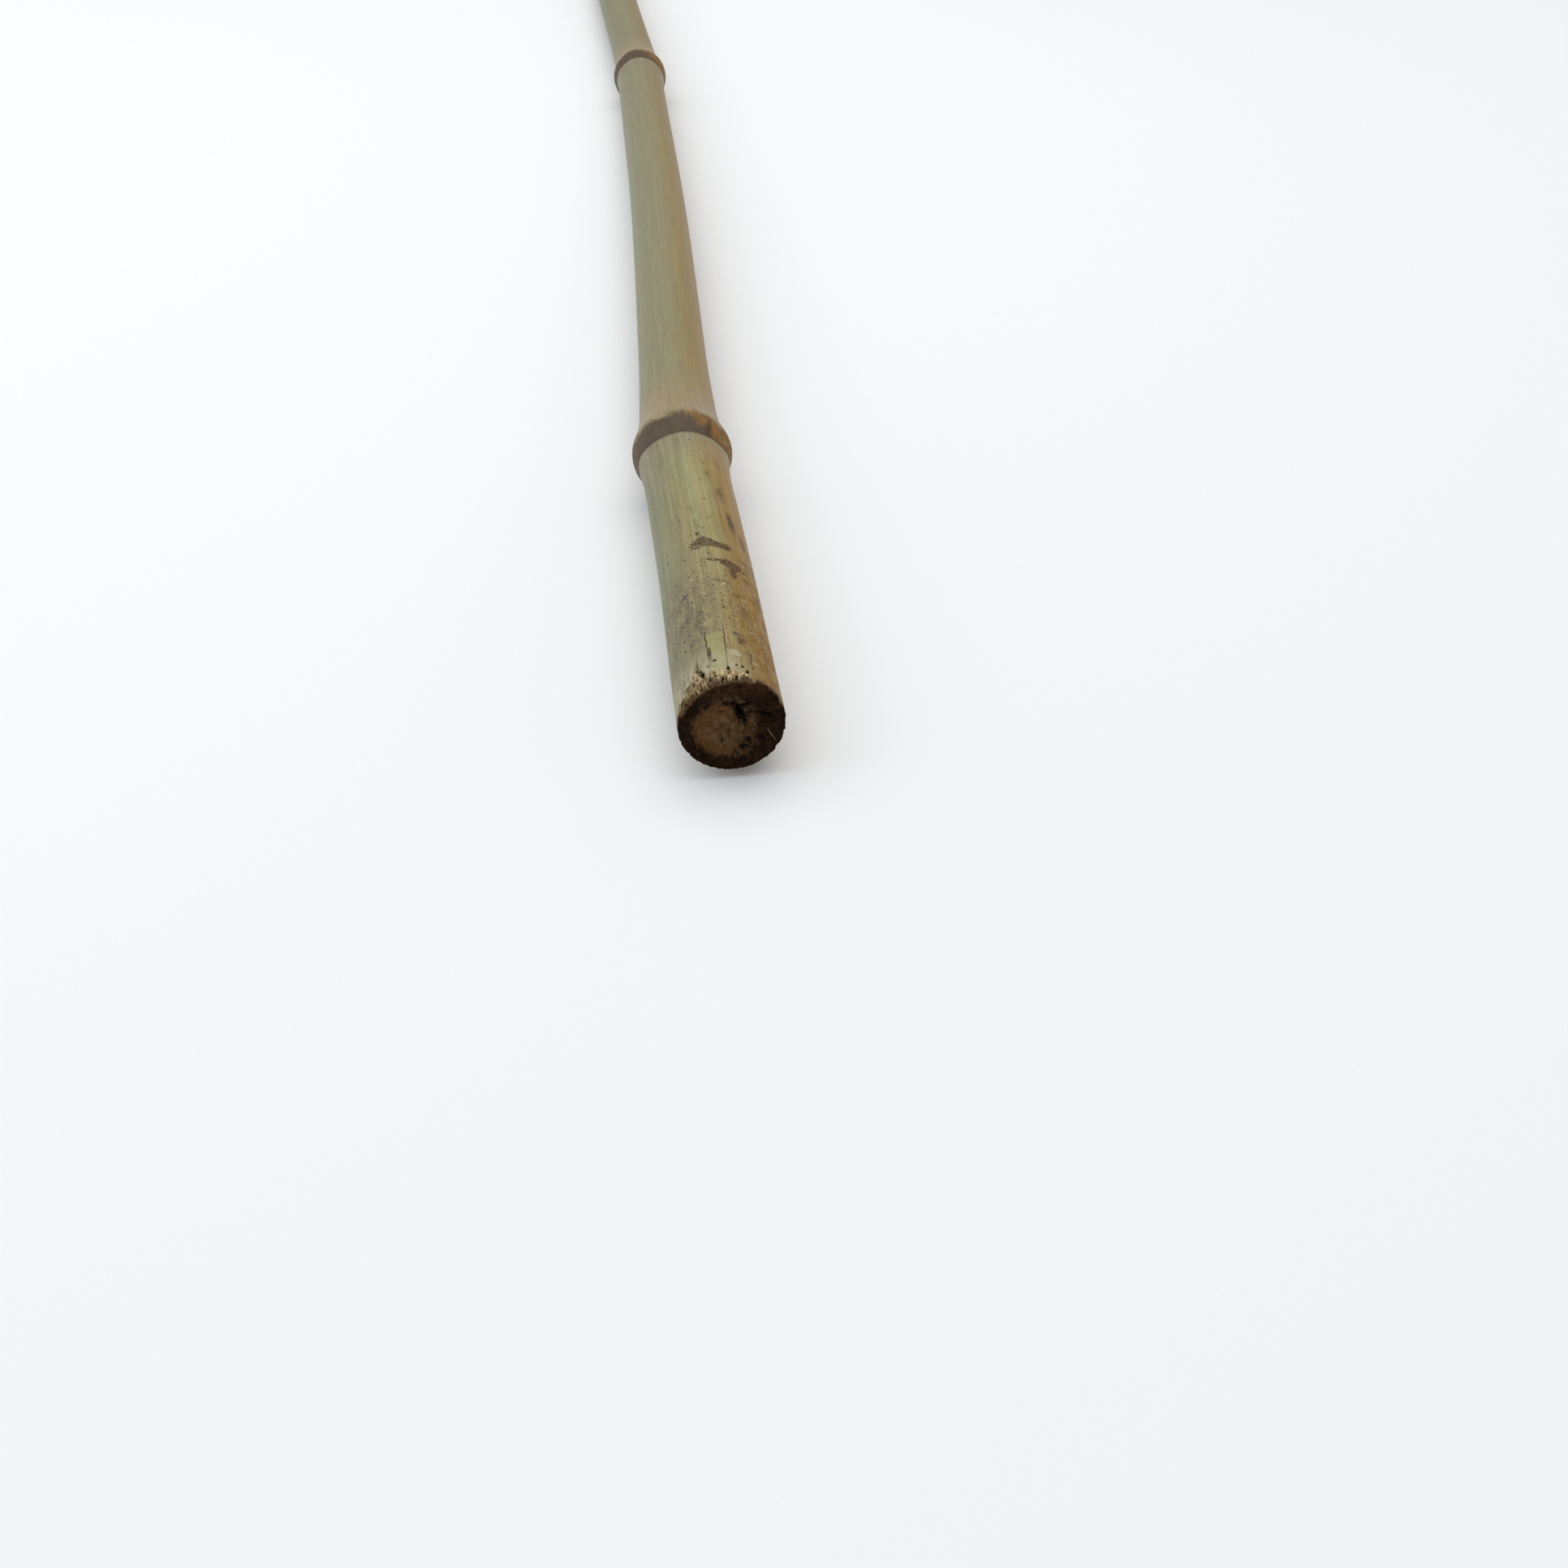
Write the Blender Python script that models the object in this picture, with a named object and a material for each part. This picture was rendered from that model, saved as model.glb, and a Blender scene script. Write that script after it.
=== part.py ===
# One bamboo cane, cut across at both ends and lying on the swellings of its nodes.
# It runs along +Y with the thicker butt towards -Y, and +Z is up. Sizes are in metres.

import math

import bmesh
import bpy
from mathutils import Vector, noise

# The cane as a whole
CANE_LENGTH = 0.600
SIDES = 36
FLAT_DEPTH = 0.00035
LONGEST_STEP = 0.024
AXIS_STEP = 0.0005
SHARP_EDGE = 40.0

# The internodes, from the butt to the tip: their radius, and how far each one bows up and sideways
INTERNODE_RADII = (0.00648, 0.00588, 0.00562, 0.00542)
BOWS_UP = (0.0, 0.0006, 0.0004, 0.0)
BOWS_SIDEWAYS = (0.0002, 0.0007, -0.0005, 0.0)
RADIUS_CHANGE_START = -0.008
RADIUS_CHANGE_END = 0.038
WAIST = 0.012
OUT_OF_ROUND = 0.011
OUT_OF_ROUND_TURNS = 1.3

# The nodes: distance from the butt, radius of the swelling, bend there and the side its bud sits on.
# A bend is in degrees to the right, and a side is in degrees round from +X over the top.
NODES = (
    {"at": 0.0708, "ring_radius": 0.00770, "bend": 1.9, "bud_side": 60.0},
    {"at": 0.2960, "ring_radius": 0.00695, "bend": -2.5, "bud_side": 240.0},
    {"at": 0.5010, "ring_radius": 0.00655, "bend": 1.8, "bud_side": 60.0},
)
FIRST_HEADING = -0.785
BEND_REACH = 0.007

# A node's outline along the cane: distance from its widest place and part of the swelling's height.
# From the butt it narrows to a neck, steps up at a crease, flares out as the scar of the leaf sheath
# and falls away to the tip.
NODE_OUTLINE = (
    (-0.0190, 0.00),
    (-0.0110, -0.07),
    (-0.0072, -0.06),
    (-0.0059, 0.04),
    (-0.0052, 0.11),
    (-0.0048, 0.11),
    (-0.0044, 0.27),
    (-0.0034, 0.52),
    (-0.0023, 0.78),
    (-0.0011, 0.94),
    (0.0000, 1.00),
    (0.0013, 0.93),
    (0.0028, 0.70),
    (0.0045, 0.44),
    (0.0066, 0.24),
    (0.0095, 0.09),
    (0.0135, 0.00),
)

# The scar is uneven round the cane: how much, how finely, and a number that sets each node's own pattern
SCAR_WAVE = 0.05
SCAR_LUMPS = 2.0
SCAR_PATTERN = 100.0

# The bud of each node, a low bump in the scar
BUD_HEIGHT = 0.0005
BUD_WIDTH = 0.0012
BUD_LENGTH = 0.0018
BUD_FROM_RING = -0.0018

# The butt: its cut leans out at the bottom, and the skin is torn off along a stretch of the rim.
# The stretch is in degrees, and the tear is deepest at one side of it.
CUT_LEAN = 0.00052
TORN_FROM = 58.0
TORN_TO = 186.0
TORN_EDGE = 14.0
TORN_DEEPEST = 138.0
TORN_SPREAD = 52.0
TORN_DEPTH = 0.00095
TORN_LEAST = 0.45
TORN_STATIONS = (0.0007, 0.0014, 0.0022, 0.0032, 0.0044, 0.0062)

# The tear's teeth reach back from the cut: the longest, and the mean, swing and least as parts of it
TOOTH_REACH = 0.0044
TOOTH_MEAN = 0.62
TOOTH_SWING = 0.9
TOOTH_LEAST = 0.3
TOOTH_WAVES = 8.4
TOOTH_PATTERN = 3.7

# The rest of the rim is only chipped
CHIP_DEPTH = 0.00022
CHIP_MEAN = 0.5
CHIP_WAVES = 9.0
CHIP_PATTERN = 1.3

# The pith, sunk a little into both cut faces: rings inwards as parts of the rim's radius, and depths
FACE_RINGS = (
    (0.95, 0.0),
    (0.80, 0.00006),
    (0.70, 0.00028),
    (0.54, 0.00045),
    (0.38, 0.00050),
    (0.22, 0.00055),
)
FACE_ROUGHNESS = 0.00012
FACE_GRAIN = 900.0

# The split in the butt's pith: the side it lies to, in degrees, and its sizes
CRACK_SIDE = 25.0
CRACK_FROM_CENTRE = 0.0011
CRACK_LENGTH = 0.0030
CRACK_WIDTH = 0.0009
CRACK_DEPTH = 0.0009

# The finish: greenish straw, half gloss
SKIN_COLOUR = (0.31, 0.27, 0.15, 1.0)
SKIN_ROUGHNESS = 0.45


def clear_scene():
    for old in list(bpy.data.objects):
        bpy.data.objects.remove(old, do_unlink=True)


def smooth_step(value):
    value = min(1.0, max(0.0, value))
    return value * value * (3.0 - 2.0 * value)


def bell(distance, width):
    return math.exp(-((distance / width) ** 2))


def heading(along):
    # Direction of the cane in plan, in radians to the right of +Y
    degrees = FIRST_HEADING
    for node in NODES:
        degrees += node["bend"] * smooth_step((along - node["at"] + BEND_REACH) / (2.0 * BEND_REACH))
    return math.radians(degrees)


def internode_at(along):
    # Which internode a place lies in, and how far along that internode it is, from 0 to 1
    ends = [0.0] + [node["at"] for node in NODES] + [CANE_LENGTH]
    for number, (near, far) in enumerate(zip(ends, ends[1:])):
        if along <= far:
            return number, (along - near) / (far - near)
    return len(NODES), 1.0


def axis_height(along):
    # Each swelling's underside is level with the others, and a bowed internode rises between two of them
    places = [node["at"] for node in NODES]
    heights = [node["ring_radius"] - FLAT_DEPTH for node in NODES]
    piece = min(max(sum(along > place for place in places) - 1, 0), len(places) - 2)
    slope = (heights[piece + 1] - heights[piece]) / (places[piece + 1] - places[piece])
    number, part = internode_at(along)
    return heights[piece] + slope * (along - places[piece]) + BOWS_UP[number] * math.sin(math.pi * part) ** 2


def base_radius(along):
    # The radius without the swellings: it steps down at each node and is a little thinner between two
    radius = INTERNODE_RADII[0]
    for node, near, far in zip(NODES, INTERNODE_RADII, INTERNODE_RADII[1:]):
        past = along - node["at"] - RADIUS_CHANGE_START
        share = smooth_step(past / (RADIUS_CHANGE_END - RADIUS_CHANGE_START))
        radius += (far - near) * share
    part = internode_at(along)[1]
    return radius * (1.0 - WAIST * math.sin(math.pi * part))


def outline_share(distance):
    for (near, near_share), (far, far_share) in zip(NODE_OUTLINE, NODE_OUTLINE[1:]):
        if near <= distance <= far:
            return near_share + (far_share - near_share) * (distance - near) / (far - near)
    return 0.0


def surface_radius(along, angle):
    # The radius at a place on the skin, with the swellings, the buds and the torn rim
    base = base_radius(along)
    turn = OUT_OF_ROUND_TURNS * math.tau * along / CANE_LENGTH
    radius = base * (1.0 + OUT_OF_ROUND * math.cos(2.0 * angle + turn))
    round_about = (SCAR_LUMPS * math.cos(angle), SCAR_LUMPS * math.sin(angle))
    for node in NODES:
        distance = along - node["at"]
        unevenness = noise.noise(Vector((*round_about, node["at"] * SCAR_PATTERN)))
        swelling = (node["ring_radius"] - base) * outline_share(distance)
        radius += swelling * (1.0 + SCAR_WAVE * unevenness)
        away = math.remainder(angle - math.radians(node["bud_side"]), math.tau) * node["ring_radius"]
        radius += BUD_HEIGHT * bell(away, BUD_WIDTH) * bell(distance - BUD_FROM_RING, BUD_LENGTH)
    return radius - torn_depth(along, angle) - chip_depth(along, angle)


def torn_depth(along, angle):
    # The skin is gone in ragged teeth along a stretch of the butt's rim
    degrees = math.degrees(angle) % 360.0
    inside = smooth_step((degrees - TORN_FROM) / TORN_EDGE) * smooth_step((TORN_TO - degrees) / TORN_EDGE)
    deepest = TORN_LEAST + (1.0 - TORN_LEAST) * bell(degrees - TORN_DEEPEST, TORN_SPREAD)
    tooth = TOOTH_MEAN + TOOTH_SWING * noise.noise(Vector((TOOTH_WAVES * angle, TOOTH_PATTERN, 0.0)))
    reach = TOOTH_REACH * min(1.0, max(TOOTH_LEAST, tooth))
    return TORN_DEPTH * inside * deepest * (1.0 - smooth_step(along / reach))


def chip_depth(along, angle):
    chip = CHIP_MEAN + noise.noise(Vector((CHIP_WAVES * angle, CHIP_PATTERN, 0.0)))
    return CHIP_DEPTH * max(0.0, chip) * smooth_step(1.0 - along / TORN_STATIONS[0])


def ring_places():
    # Close together round the nodes and at the torn rim, and far apart on the plain internodes
    places = {0.0, CANE_LENGTH - TORN_STATIONS[0], CANE_LENGTH}
    places.update(TORN_STATIONS)
    for node in NODES:
        places.update(round(node["at"] + distance, 6) for distance, _ in NODE_OUTLINE)
    wanted = sorted(places)
    rings = [wanted[0]]
    for place in wanted[1:]:
        start = rings[-1]
        gap = place - start
        steps = math.ceil(gap / LONGEST_STEP)
        rings.extend(start + gap * step / steps for step in range(1, steps + 1))
    return rings


def axis_points(places):
    # The middle of the cane at each ring, added up along the heading in short steps
    points = []
    across = 0.0
    forward = 0.0
    reached = 0.0
    for place in places:
        steps = max(1, math.ceil((place - reached) / AXIS_STEP))
        for step in range(steps):
            middle = reached + (place - reached) * (step + 0.5) / steps
            across += math.sin(heading(middle)) * (place - reached) / steps
            forward += math.cos(heading(middle)) * (place - reached) / steps
        reached = place
        number, part = internode_at(place)
        sideways = BOWS_SIDEWAYS[number] * math.sin(math.pi * part) ** 2
        points.append(Vector((across + sideways, forward, axis_height(place))))
    return points


def ring_point(centre, along, angle, radius, inwards=0.0):
    # A point at an angle round the axis; inwards moves it along the axis towards the tip
    direction = heading(along)
    lean = CUT_LEAN * smooth_step(1.0 - along / TORN_STATIONS[-1])
    inwards += lean * radius * math.sin(angle) / INTERNODE_RADII[0]
    side = Vector((math.cos(direction), -math.sin(direction), 0.0))
    forward = Vector((math.sin(direction), math.cos(direction), 0.0))
    point = centre + side * radius * math.cos(angle) + forward * inwards
    point.z += radius * math.sin(angle)
    point.z = max(0.0, point.z)
    return point


def pith_depth(across, up, plain_depth, is_butt):
    # Depth of a cut face at a place on it; only the butt's pith is split
    rough = FACE_ROUGHNESS * noise.noise(Vector((across * FACE_GRAIN, up * FACE_GRAIN, float(is_butt))))
    if not is_butt:
        return plain_depth + rough
    side = math.radians(CRACK_SIDE)
    lengthways = -across * math.sin(side) + up * math.cos(side)
    sideways = across * math.cos(side) + up * math.sin(side) - CRACK_FROM_CENTRE
    crack = CRACK_DEPTH * bell(sideways, CRACK_WIDTH) * bell(lengthways, CRACK_LENGTH)
    return plain_depth + rough + crack


def add_cut_face(mesh, rim, centre, along, is_butt):
    # Rings from the rim to the middle of a cut face, each a little deeper than the last
    inward_sign = 1.0 if is_butt else -1.0
    outer = rim
    for part, plain_depth in FACE_RINGS:
        ring = []
        for number in range(SIDES):
            angle = math.tau * number / SIDES
            radius = surface_radius(along, angle) * part
            depth = 0.0
            if plain_depth:
                depth = pith_depth(radius * math.cos(angle), radius * math.sin(angle), plain_depth, is_butt)
            ring.append(mesh.verts.new(ring_point(centre, along, angle, radius, inward_sign * depth)))
        join_rings(mesh, outer, ring)
        outer = ring
    depth = pith_depth(0.0, 0.0, FACE_RINGS[-1][1], is_butt)
    middle = mesh.verts.new(ring_point(centre, along, 0.0, 0.0, inward_sign * depth))
    for number in range(SIDES):
        mesh.faces.new((outer[number], outer[(number + 1) % SIDES], middle))


def join_rings(mesh, near, far):
    for number in range(SIDES):
        following = (number + 1) % SIDES
        mesh.faces.new((near[number], far[number], far[following], near[following]))


def cane_mesh():
    places = ring_places()
    centres = axis_points(places)
    mesh = bmesh.new()
    rings = []
    for place, centre in zip(places, centres):
        ring = []
        for number in range(SIDES):
            angle = math.tau * number / SIDES
            ring.append(mesh.verts.new(ring_point(centre, place, angle, surface_radius(place, angle))))
        rings.append(ring)
    for near, far in zip(rings, rings[1:]):
        join_rings(mesh, near, far)
    add_cut_face(mesh, rings[0], centres[0], places[0], True)
    add_cut_face(mesh, rings[-1], centres[-1], places[-1], False)
    bmesh.ops.recalc_face_normals(mesh, faces=mesh.faces)
    bmesh.ops.triangulate(mesh, faces=mesh.faces)
    centre_on_origin(mesh)
    return mesh


def centre_on_origin(mesh):
    # The origin is under the middle of the cane's box, on the surface that it lies on
    lows = [min(vert.co[axis] for vert in mesh.verts) for axis in range(3)]
    highs = [max(vert.co[axis] for vert in mesh.verts) for axis in range(3)]
    middle = Vector(((lows[0] + highs[0]) / 2.0, (lows[1] + highs[1]) / 2.0, lows[2]))
    bmesh.ops.translate(mesh, verts=mesh.verts, vec=-middle)


def skin_material():
    material = bpy.data.materials.new("cane_skin")
    material.use_nodes = True
    shader = material.node_tree.nodes["Principled BSDF"]
    shader.inputs["Base Color"].default_value = SKIN_COLOUR
    shader.inputs["Roughness"].default_value = SKIN_ROUGHNESS
    shader.inputs["Metallic"].default_value = 0.0
    return material


def build_cane():
    mesh = cane_mesh()
    data = bpy.data.meshes.new("cane")
    mesh.to_mesh(data)
    mesh.free()
    data.shade_smooth()
    data.set_sharp_from_angle(angle=math.radians(SHARP_EDGE))
    data.materials.append(skin_material())
    cane = bpy.data.objects.new("cane", data)
    bpy.context.scene.collection.objects.link(cane)
    return cane


clear_scene()
build_cane()
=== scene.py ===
import math

import bmesh
import bpy
import numpy as np
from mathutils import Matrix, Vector, noise


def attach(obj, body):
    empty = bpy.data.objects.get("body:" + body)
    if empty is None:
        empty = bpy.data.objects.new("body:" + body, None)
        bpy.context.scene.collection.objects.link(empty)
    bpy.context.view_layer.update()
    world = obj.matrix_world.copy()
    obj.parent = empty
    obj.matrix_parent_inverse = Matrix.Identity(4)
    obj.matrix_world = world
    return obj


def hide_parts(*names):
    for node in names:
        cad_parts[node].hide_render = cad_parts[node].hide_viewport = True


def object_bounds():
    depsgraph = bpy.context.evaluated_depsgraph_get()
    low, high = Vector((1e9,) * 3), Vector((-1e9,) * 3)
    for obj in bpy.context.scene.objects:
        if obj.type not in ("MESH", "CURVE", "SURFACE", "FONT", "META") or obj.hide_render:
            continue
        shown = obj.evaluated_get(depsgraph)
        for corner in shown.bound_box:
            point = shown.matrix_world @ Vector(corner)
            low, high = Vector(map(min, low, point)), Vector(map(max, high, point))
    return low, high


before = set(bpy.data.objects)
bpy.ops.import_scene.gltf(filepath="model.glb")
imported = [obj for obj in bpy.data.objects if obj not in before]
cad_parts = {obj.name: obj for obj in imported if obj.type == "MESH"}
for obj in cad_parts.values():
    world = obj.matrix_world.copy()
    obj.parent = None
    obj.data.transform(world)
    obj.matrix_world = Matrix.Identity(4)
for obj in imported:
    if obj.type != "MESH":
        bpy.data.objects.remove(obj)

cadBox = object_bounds()
bpy.context.scene.view_settings.view_transform = "Standard"
print("frame loaded, nodes:", sorted(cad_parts))

# the node tree that the helpers below add to
now = {"tree": None}


def put(socket, value):
    # links the socket, or sets its value
    if isinstance(value, bpy.types.NodeSocket):
        now["tree"].links.new(value, socket)
    else:
        socket.default_value = value


def addNode(kind, values=None, **settings):
    node = now["tree"].nodes.new(kind)
    for name, setting in settings.items():
        setattr(node, name, setting)
    for name, value in (values or {}).items():
        put(node.inputs[name], value)
    return node


def shape(kind, values=None, **settings):
    # the first output of a new geometry node
    return addNode("GeometryNode" + kind, values, **settings).outputs[0]


def calc(operation, *numbers, clamp=False):
    return addNode("ShaderNodeMath", dict(enumerate(numbers)), operation=operation,
        use_clamp=clamp).outputs[0]


def plus(first, second):
    return calc("ADD", first, second)


def minus(first, second):
    return calc("SUBTRACT", first, second)


def times(first, *others):
    for other in others:
        first = calc("MULTIPLY", first, other)
    return first


def timesPlus(value, factor, base, clamp=False):
    return calc("MULTIPLY_ADD", value, factor, base, clamp=clamp)


def swing(value, factor, base):
    # base, moved up and down by a value round 0.5
    return timesPlus(minus(value, 0.5), factor, base)


def largest(first, *others):
    for other in others:
        first = calc("MAXIMUM", first, other)
    return first


def either(found, value, operation="MAXIMUM"):
    # the larger of both, or the value alone where nothing was found before
    return value if found is None else calc(operation, found, value)


def vectorCalc(operation, *values, out="Vector"):
    return addNode("ShaderNodeVectorMath", dict(enumerate(values)), operation=operation).outputs[out]


def measure(operation, *values):
    return vectorCalc(operation, *values, out="Value")


def scaled(vector, factor):
    values = {0: vector, "Scale": factor}
    return addNode("ShaderNodeVectorMath", values, operation="SCALE").outputs[0]


def joined(x, y, z=0.0):
    return addNode("ShaderNodeCombineXYZ", {"X": x, "Y": y, "Z": z}).outputs[0]


def fade(value, low, high, least=0.0, most=1.0):
    # 0 below low and 1 above high, smooth between; low may be the larger one
    limits = {"Value": value, "From Min": low, "From Max": high, "To Min": least, "To Max": most}
    return addNode("ShaderNodeMapRange", limits, interpolation_type="SMOOTHSTEP").outputs[0]


def named(name, kind="FLOAT"):
    return addNode("GeometryNodeInputNamedAttribute", {"Name": name}, data_type=kind).outputs["Attribute"]


def store(geometry, name, value, kind="FLOAT"):
    values = {"Geometry": geometry, "Name": name, "Value": value}
    return shape("StoreNamedAttribute", values, data_type=kind, domain="POINT")


def newTree(name, sockets):
    # a Geometry Nodes tree with named inputs: {name: (socket type, default)}
    tree = bpy.data.node_groups.new(name, "GeometryNodeTree")
    now["tree"] = tree
    for way in ("INPUT", "OUTPUT"):
        tree.interface.new_socket(name="Geometry", in_out=way, socket_type="NodeSocketGeometry")
    for label, (kind, default) in sockets.items():
        socket = tree.interface.new_socket(name=label, in_out="INPUT", socket_type="NodeSocket" + kind)
        if default is not None:
            socket.default_value = default
    return tree, tree.nodes.new("NodeGroupInput").outputs, tree.nodes.new("NodeGroupOutput").inputs


def newObject(name, data):
    made = bpy.data.objects.new(name, data)
    bpy.context.scene.collection.objects.link(made)
    return made


def runTree(host, tree, name, **values):
    # runs the tree on the host with its inputs set by identifier, and keeps a plain mesh of what it makes
    modifier = host.modifiers.new(tree.name, "NODES")
    modifier.node_group = tree
    for item in tree.interface.items_tree:
        if item.in_out == "INPUT" and item.name.replace(" ", "") in values:
            modifier[item.identifier] = values[item.name.replace(" ", "")]
    graph = bpy.context.evaluated_depsgraph_get()
    data = bpy.data.meshes.new_from_object(host.evaluated_get(graph), preserve_all_data_layers=True,
        depsgraph=graph)
    host.modifiers.remove(modifier)
    bpy.data.objects.remove(host, do_unlink=True)
    data.name = name
    return newObject(name, data)


def addAttribute(data, name, values):
    isVector = np.ndim(values) == 2
    made = data.attributes.new(name, "FLOAT_VECTOR" if isVector else "FLOAT", "POINT")
    made.data.foreach_set("vector" if isVector else "value", np.asarray(values, np.float32).ravel())


def readAttribute(data, name, width=1):
    values = np.zeros(len(data.vertices) * width, np.float32)
    data.attributes[name].data.foreach_get("vector" if width == 3 else "value", values)
    return values.reshape(-1, width) if width > 1 else values


# the cane's form: the same rule as its solid, with a lifted lip and a prouder shoulder at each node
cane = {
    "length": 0.6, "sides": 104, "buttX": -0.000797, "buttY": -0.29967, "flatDepth": 0.00035,
    "internodeRadii": (0.00648, 0.00588, 0.00562, 0.00542),
    "bowsUp": (0.0, 0.0006, 0.0004, 0.0), "bowsSideways": (0.0002, 0.0007, -0.0005, 0.0),
    "radiusChange": (-0.008, 0.038), "waist": 0.012, "outOfRound": 0.011, "outOfRoundTurns": 1.3,
    "firstHeading": -0.785, "bendReach": 0.007,
    "fineStep": 0.00035, "coarseStep": 0.0032, "buttReach": 0.0114, "nominalRadius": 6.4,
}
arcPerDegree = 2.0 * math.pi * cane["nominalRadius"] / 360.0  # in mm, on the nominal cane
nodeRings = (
    {"at": 0.0708, "ring": 0.0077, "bend": 1.9, "bud": 60.0, "lift": 0.0028},
    {"at": 0.296, "ring": 0.00695, "bend": -2.5, "bud": 240.0, "lift": 0.002},
    {"at": 0.501, "ring": 0.00655, "bend": 1.8, "bud": 60.0, "lift": 0.0022},
)
nodeOutline = (
    (-0.019, 0.0), (-0.0125, -0.02), (-0.0095, 0.06), (-0.0079, 0.17), (-0.0068, 0.28), (-0.0061, 0.34),
    (-0.0057, 0.31), (-0.0054, 0.4), (-0.0047, 0.5), (-0.0036, 0.65), (-0.0023, 0.82), (-0.0011, 0.95),
    (0.0, 1.0), (0.0013, 0.93), (0.0028, 0.7), (0.0045, 0.44), (0.0066, 0.24), (0.0095, 0.09),
    (0.0135, 0.0),
)
bud = {"height": 0.0005, "width": 0.0012, "length": 0.0018, "fromRing": -0.0018}


def smoothStep(value):
    value = np.clip(value, 0.0, 1.0)
    return value * value * (3.0 - 2.0 * value)


def bell(distance, width):
    return np.exp(-((distance / width) ** 2))


def heading(along):
    degrees = np.full(np.shape(along), cane["firstHeading"])
    reach = cane["bendReach"]
    for ring in nodeRings:
        degrees = degrees + ring["bend"] * smoothStep((along - ring["at"] + reach) / (2.0 * reach))
    return np.radians(degrees)


def partOfInternode(along):
    ends = np.array([0.0] + [ring["at"] for ring in nodeRings] + [cane["length"]])
    number = np.clip(np.searchsorted(ends, along) - 1, 0, len(nodeRings))
    return number, (along - ends[number]) / (ends[number + 1] - ends[number])


def baseRadius(along):
    radius = np.full(np.shape(along), cane["internodeRadii"][0])
    start, end = cane["radiusChange"]
    for ring, near, far in zip(nodeRings, cane["internodeRadii"], cane["internodeRadii"][1:]):
        radius = radius + (far - near) * smoothStep((along - ring["at"] - start) / (end - start))
    return radius * (1.0 - cane["waist"] * np.sin(np.pi * partOfInternode(along)[1]))


def outlineShare(distance):
    # a smooth line through the outline's points
    x, y = (np.array(row) for row in zip(*nodeOutline))
    slopes = np.gradient(y, x)
    slopes[0] = slopes[-1] = 0.0
    number = np.clip(np.searchsorted(x, distance) - 1, 0, len(x) - 2)
    gap = x[number + 1] - x[number]
    t = np.clip((distance - x[number]) / gap, 0.0, 1.0)
    curve = ((1 + 2 * t) * (1 - t) ** 2 * y[number] + t * (1 - t) ** 2 * gap * slopes[number] + t * t
        * (3 - 2 * t) * y[number + 1] + t * t * (t - 1) * gap * slopes[number + 1])
    return np.where((distance < x[0]) | (distance > x[-1]), 0.0, curve)


def axisTable():
    # the middle of the cane at every 0.1 mm, in the frame
    along = np.linspace(0.0, cane["length"], 6001)
    middle = (along[1:] + along[:-1]) / 2.0
    step = np.diff(along)
    across = np.concatenate([[0.0], np.cumsum(np.sin(heading(middle)) * step)])
    forward = np.concatenate([[0.0], np.cumsum(np.cos(heading(middle)) * step)])
    number, part = partOfInternode(along)
    hump = np.sin(np.pi * part) ** 2
    across = across + np.array(cane["bowsSideways"])[number] * hump
    places = np.array([ring["at"] for ring in nodeRings])
    heights = np.array([ring["ring"] for ring in nodeRings]) - cane["flatDepth"]
    piece = np.clip(np.searchsorted(places, along) - 1, 0, len(places) - 2)
    slope = (heights[piece + 1] - heights[piece]) / (places[piece + 1] - places[piece])
    up = heights[piece] + slope * (along - places[piece]) + np.array(cane["bowsUp"])[number] * hump
    return along, np.stack([across + cane["buttX"], forward + cane["buttY"], up], 1)


axisAlong, axisMiddle = axisTable()


def axisAt(along):
    return np.stack([np.interp(along, axisAlong, axisMiddle[:, k]) for k in range(3)], 1)


def ringPlaces():
    # close together at the butt and round the nodes, far apart on the plain internodes
    places = [0.0]
    while places[-1] < cane["length"] - 0.0008:
        here = places[-1]
        past = max(0.0, here - cane["buttReach"])
        for ring in nodeRings:
            past = min(past, max(0.0, abs(here - ring["at"] - 0.0015) - 0.0125))
        places.append(here + min(cane["coarseStep"], cane["fineStep"] + 0.09 * past))
    places[-1] = cane["length"] - 0.0006
    places.append(cane["length"])
    return np.array(places)


def makeLine():
    along = ringPlaces()
    line = bpy.data.meshes.new("caneLine")
    line.from_pydata([tuple(p) for p in axisAt(along)], [(k, k + 1) for k in range(len(along) - 1)], [])
    turn = heading(along)
    side = np.stack([np.cos(turn), -np.sin(turn), np.zeros(len(along))], 1)
    swelling, scar, budShare, lift = (np.zeros(len(along)) for _ in range(4))
    budSide = np.zeros((len(along), 3))
    seeds = np.zeros(len(along))
    for number, ring in enumerate(nodeRings):
        distance = along - ring["at"]
        near = np.abs(distance) < 0.03
        swelling += (ring["ring"] - baseRadius(along)) * outlineShare(distance)
        scar += smoothStep((distance + 0.0057) / 0.0006) * smoothStep((0.0012 - distance) / 0.0016)
        rise = smoothStep((distance + 0.0135) / 0.007)
        lift += ring["lift"] * rise * smoothStep((0.002 - distance) / 0.007)
        budShare += bell(distance - bud["fromRing"], bud["length"])
        angle = math.radians(ring["bud"])
        budSide[near] = side[near] * math.cos(angle) + np.array([0.0, 0.0, math.sin(angle)])
        seeds[near] = 3.0 + 5.0 * number
    phase = cane["outOfRoundTurns"] * math.tau * along / cane["length"]
    for name, values in (("along", along), ("thickness", baseRadius(along)), ("swelling", swelling),
            ("scar", scar), ("lift", lift), ("budShare", budShare), ("nodeSeed", seeds), ("phase", phase),
            ("sideways", side), ("budSide", budSide)):
        addAttribute(line, name, values)
    return newObject("caneLine", line)


# the body: a round profile swept along the line, with swellings, buds and the grain's low ridges
bodySizes = {
    "scarWave": 0.05, "lipWave": 0.00028, "ridgeDepth": 0.000022, "ridgeAcross": 1.1,
    "fibreDepth": 0.00011, "seed": 4.0,
}


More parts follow.
